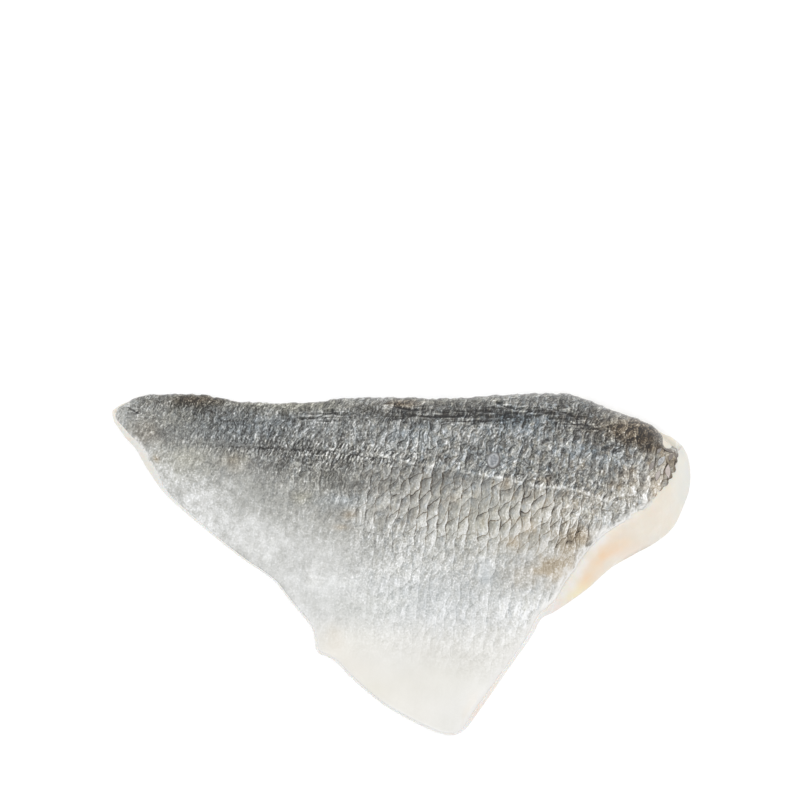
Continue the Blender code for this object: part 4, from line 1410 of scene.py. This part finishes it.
# %% Wet gloss and relief
# The wet surface is a clear coat over a skin that is only a little metallic.
skin_relief = add_node(tree, "Math", [dark_rim, -0.3], operation="MULTIPLY")
skin_relief = add_node(tree, "Math", [strokes, 1.0, skin_relief], operation="MULTIPLY_ADD")
skin_relief = add_node(tree, "Math", [skin_relief, painted_contrast], operation="MULTIPLY")
bump = add_node(tree, "Bump", {"Height": skin_relief, "Strength": 0.3, "Distance": 0.08 * MM})
gloss = add_node(tree, "MapRange", [strokes, 0.3, 0.7, 0.46, 0.30])
finish_material(skin_material, [skin], colour, {
    "Roughness": gloss, "Normal": bump, "Metallic": 0.12, "IOR": 1.42,
    "Coat Weight": 0.3, "Coat Roughness": 0.18, "Coat IOR": 1.34,
})

# %% [markdown]
# ## The flesh's material: raw white fish
#
# Raw bream is a pale muscle that lets light in a few millimetres. Fat gives an apricot tone
# beside the belly, and thin white walls part the muscle into segments.

# %% Colours of the cut flesh
# The pale colour changes a little over about 6 mm, and each tint comes unevenly with it.
CLOUDS_PER_METRE = 170.0

flesh_material, tree = new_material("raw_white_fish_flesh")
where = add_node(tree, "TexCoord").outputs["Object"]
cloud = add_node(
    tree, "TexNoise", {"Vector": where, "Scale": CLOUDS_PER_METRE, "Detail": 3.0, "Roughness": 0.6}
)
stops = [(0.3, "#e9dfcf"), (0.5, "#ebe3d3"), (0.7, "#efe8da")]
colour = add_node(tree, "ValToRGB", [cloud], stops)
tints = add_node(tree, "Attribute", attribute_name="tint").outputs["Vector"]
orange_share, pink_share, clear_share = add_node(tree, "SeparateXYZ", [tints]).outputs
fats = add_node(tree, "Attribute", attribute_name="fat").outputs["Vector"]
yellow_share, film_share, _ = add_node(tree, "SeparateXYZ", [fats]).outputs
cloudy = add_node(tree, "MapRange", [cloud, 0.35, 0.6, 0.6, 1.0])
for share, hex_colour in (
    (clear_share, "#e2e1d9"), (pink_share, "#f4ded2"), (yellow_share, "#f4e6bd"),
    (orange_share, "#f2cda1"), (film_share, "#efede9"),
):
    uneven = add_node(tree, "Math", [cloudy, share], operation="MULTIPLY")
    colour = add_node(tree, "Mix", [uneven, colour, linear(hex_colour)], data_type="RGBA")
print("nodes so far:", len(tree.nodes))

# %% Muscle walls, backbone groove and belly hollow
# The white walls are plain on the underside and faint on the cut.
inner = add_node(tree, "Attribute", attribute_name="inner_side").outputs["Vector"]
in_groove, in_hollow, muscle_count = add_node(tree, "SeparateXYZ", [inner]).outputs
wall = add_node(tree, "Math", [muscle_count], operation="FRACT")
wall = add_node(tree, "Math", [wall, 0.5], operation="SUBTRACT")
wall = add_node(tree, "Math", [wall], operation="ABSOLUTE")
wall = add_node(tree, "MapRange", [wall, 0.42, 0.5, 0.0, 0.5], **SMOOTH)
_, _, height = add_node(tree, "SeparateXYZ", [where]).outputs
under_share = add_node(tree, "MapRange", [height, 0.0012, 0.003, 1.0, 0.12])
wall = add_node(tree, "Math", [wall, under_share], operation="MULTIPLY")
blood = add_node(tree, "Math", [in_groove, 0.55], operation="MULTIPLY")
lining = add_node(tree, "Math", [in_hollow, 0.6], operation="MULTIPLY")
for share, hex_colour in ((wall, "#f8f5f0"), (blood, "#d9a390"), (lining, "#e6dcd6")):
    colour = add_node(tree, "Mix", [share, colour, linear(hex_colour)], data_type="RGBA")
print("nodes so far:", len(tree.nodes))

# %% Wet gloss and soft light of the flesh
# The grain is 1.1 mm in size. Light goes a few millimetres in, and red light furthest.
GRAINS_PER_METRE = 900.0

grain = add_node(
    tree, "TexNoise", {"Vector": where, "Scale": GRAINS_PER_METRE, "Detail": 2.0, "Roughness": 0.5}
)
grain_height = add_node(tree, "Math", [wall, -0.8, grain], operation="MULTIPLY_ADD")
bump = add_node(tree, "Bump", {"Height": grain_height, "Strength": 0.4, "Distance": 0.15 * MM})
gloss = add_node(tree, "MapRange", [cloud, 0, 1, 0.30, 0.46])
finish_material(flesh_material, [flesh], colour, {
    "Roughness": gloss, "Normal": bump, "IOR": 1.38, "Subsurface Weight": 0.4,
    "Subsurface Radius": (1.0, 0.6, 0.4), "Subsurface Scale": 3 * MM,
    "Coat Weight": 0.2, "Coat Roughness": 0.15,
})

# %% [markdown]
# ## The leftover scales' material: fish scale
#
# A bream's scale is a disc of clear horn over the grey skin. Its rim holds a dark line of skin,
# stronger on the side that lies in shade. The attribute of the scale's shape tells how far a
# point is from the middle, from side to side, and from root to tip.

# %% Horn, dark rim and growth rings
# The stain changes over about 0.7 mm.
STAINS_PER_METRE = 1400.0

scale_material, tree = new_material("loose_fish_scale")
shape = add_node(tree, "Attribute", attribute_name="scale_shape").outputs["Vector"]
from_middle, to_side, to_tip = add_node(tree, "SeparateXYZ", [shape]).outputs
stain = add_node(tree, "Attribute", attribute_name="scale_stain").outputs["Vector"]
stain_tone, stain_brown, stain_flesh = add_node(tree, "SeparateXYZ", [stain]).outputs
where = add_node(tree, "TexCoord").outputs["Object"]
cloud = add_node(
    tree, "TexNoise", {"Vector": where, "Scale": STAINS_PER_METRE, "Detail": 2.0, "Roughness": 0.6}
)
rim_place = add_node(tree, "Math", [cloud, 0.35, from_middle], operation="MULTIPLY_ADD")
for part, amount in ((to_side, 0.14), (to_tip, -0.08)):
    rim_place = add_node(tree, "Math", [part, amount, rim_place], operation="MULTIPLY_ADD")
in_rim = add_node(tree, "MapRange", [rim_place, 0.94, 1.22, 0.0, 0.8])
lit_ring = add_node(tree, "MapRange", [rim_place, 0.72, 0.95, -0.05, 0.10])
fill = add_node(tree, "Math", [cloud, 0.6, stain_tone], operation="MULTIPLY_ADD")
fill = add_node(tree, "Math", [fill, lit_ring], operation="ADD")
fill = add_node(tree, "Math", [fill, 0.3], operation="SUBTRACT")
stops = [(0.25, "#454543"), (0.5, "#84878a"), (0.7, "#b2b4b4"), (0.9, "#e2e4e1")]
colour = add_node(tree, "ValToRGB", [fill], stops)
for share, most, hex_colour in (
    (stain_brown, 0.55, "#7d6448"), (stain_flesh, 0.85, "#e3cdbf"), (in_rim, 1.0, "#3a3029")
):
    share = add_node(tree, "Math", [share, most], operation="MULTIPLY")
    colour = add_node(tree, "Mix", [share, colour, linear(hex_colour)], data_type="RGBA")
growth_rings = add_node(tree, "Math", [from_middle, 24.0], operation="MULTIPLY")
growth_rings = add_node(tree, "Math", [growth_rings], operation="SINE")
bump = add_node(tree, "Bump", {"Height": growth_rings, "Strength": 0.12, "Distance": 0.04 * MM})
gloss = add_node(tree, "MapRange", [cloud, 0, 1, 0.25, 0.5])
finish_material(scale_material, [torn_scales, lone_scale], colour, {
    "Roughness": gloss, "Normal": bump, "IOR": 1.54, "Coat Weight": 0.3, "Coat Roughness": 0.12,
})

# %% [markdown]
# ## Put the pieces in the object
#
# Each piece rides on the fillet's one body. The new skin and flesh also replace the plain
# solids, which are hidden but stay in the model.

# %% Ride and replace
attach(skin, "root")
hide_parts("skin")
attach(flesh, "root")
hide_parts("flesh")
for piece in (torn_scales, lone_scale):
    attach(piece, "root")

# %% [markdown]
# ## The studio
#
# The fillet lies on a plain white floor and is seen from straight above, through a long lens
# from far away, so that all of it is seen squarely. Pale surroundings give even light, and
# three soft lamps around it catch the small slopes of the skin and make them glint.

# %% Floor
deselect_all()
bpy.ops.mesh.primitive_plane_add(size=6.0, location=(0.0, 0.0, 0.0))
floor = bpy.context.object
floor.name = "studio_floor"
floor_material, tree = new_material("matt_white_board")
feed(tree, tree.nodes["Principled BSDF"], {
    "Base Color": linear("#fdfdfc"), "Roughness": 0.9, "Specular IOR Level": 0.1,
})
floor.data.materials.append(floor_material)
print("floor:", floor.dimensions.x, "m wide")

# %% Lamps
# Each lamp is a square with this side, in metres.
LAMP_SIZE = 0.5

world = bpy.data.worlds.new("pale_studio")
world.use_nodes = True
tree = world.node_tree
feed(tree, tree.nodes["Background"], {"Color": linear("#fbfcff"), "Strength": 1.01})
bpy.context.scene.world = world


def add_lamp(name, place, watts):
    """A square soft lamp that shines at the middle of the fillet."""
    deselect_all()
    bpy.ops.object.light_add(type="AREA", location=place)
    lamp = bpy.context.object
    lamp.name = name
    lamp.data.size = LAMP_SIZE
    lamp.data.energy = watts
    direction = -lamp.location.normalized()
    lamp.rotation_euler = direction.to_track_quat("-Z", "Y").to_euler()
    print(name, "lamp:", watts, "W")


add_lamp("key", (0.7, 0.5, 1.2), watts=3.8)
add_lamp("fill", (-0.75, 0.3, 1.1), watts=2.3)
add_lamp("front", (0.0, -0.8, 1.2), watts=1.9)

# %% Camera
# The picture takes in this width on the floor, in metres.
FRAME_WIDTH = 0.2491
CAMERA_HEIGHT = 2.2
SENSOR_WIDTH = 36.0

bpy.ops.object.camera_add(location=(-0.0003, 0.0509, CAMERA_HEIGHT), rotation=(0, 0, 0))
camera = bpy.context.object
camera.data.sensor_width = SENSOR_WIDTH
camera.data.lens = SENSOR_WIDTH * CAMERA_HEIGHT / FRAME_WIDTH
camera.data.clip_end = 20.0
bpy.context.scene.camera = camera
bpy.context.scene.view_settings.view_transform = "Standard"
print("lens:", round(camera.data.lens), "mm")
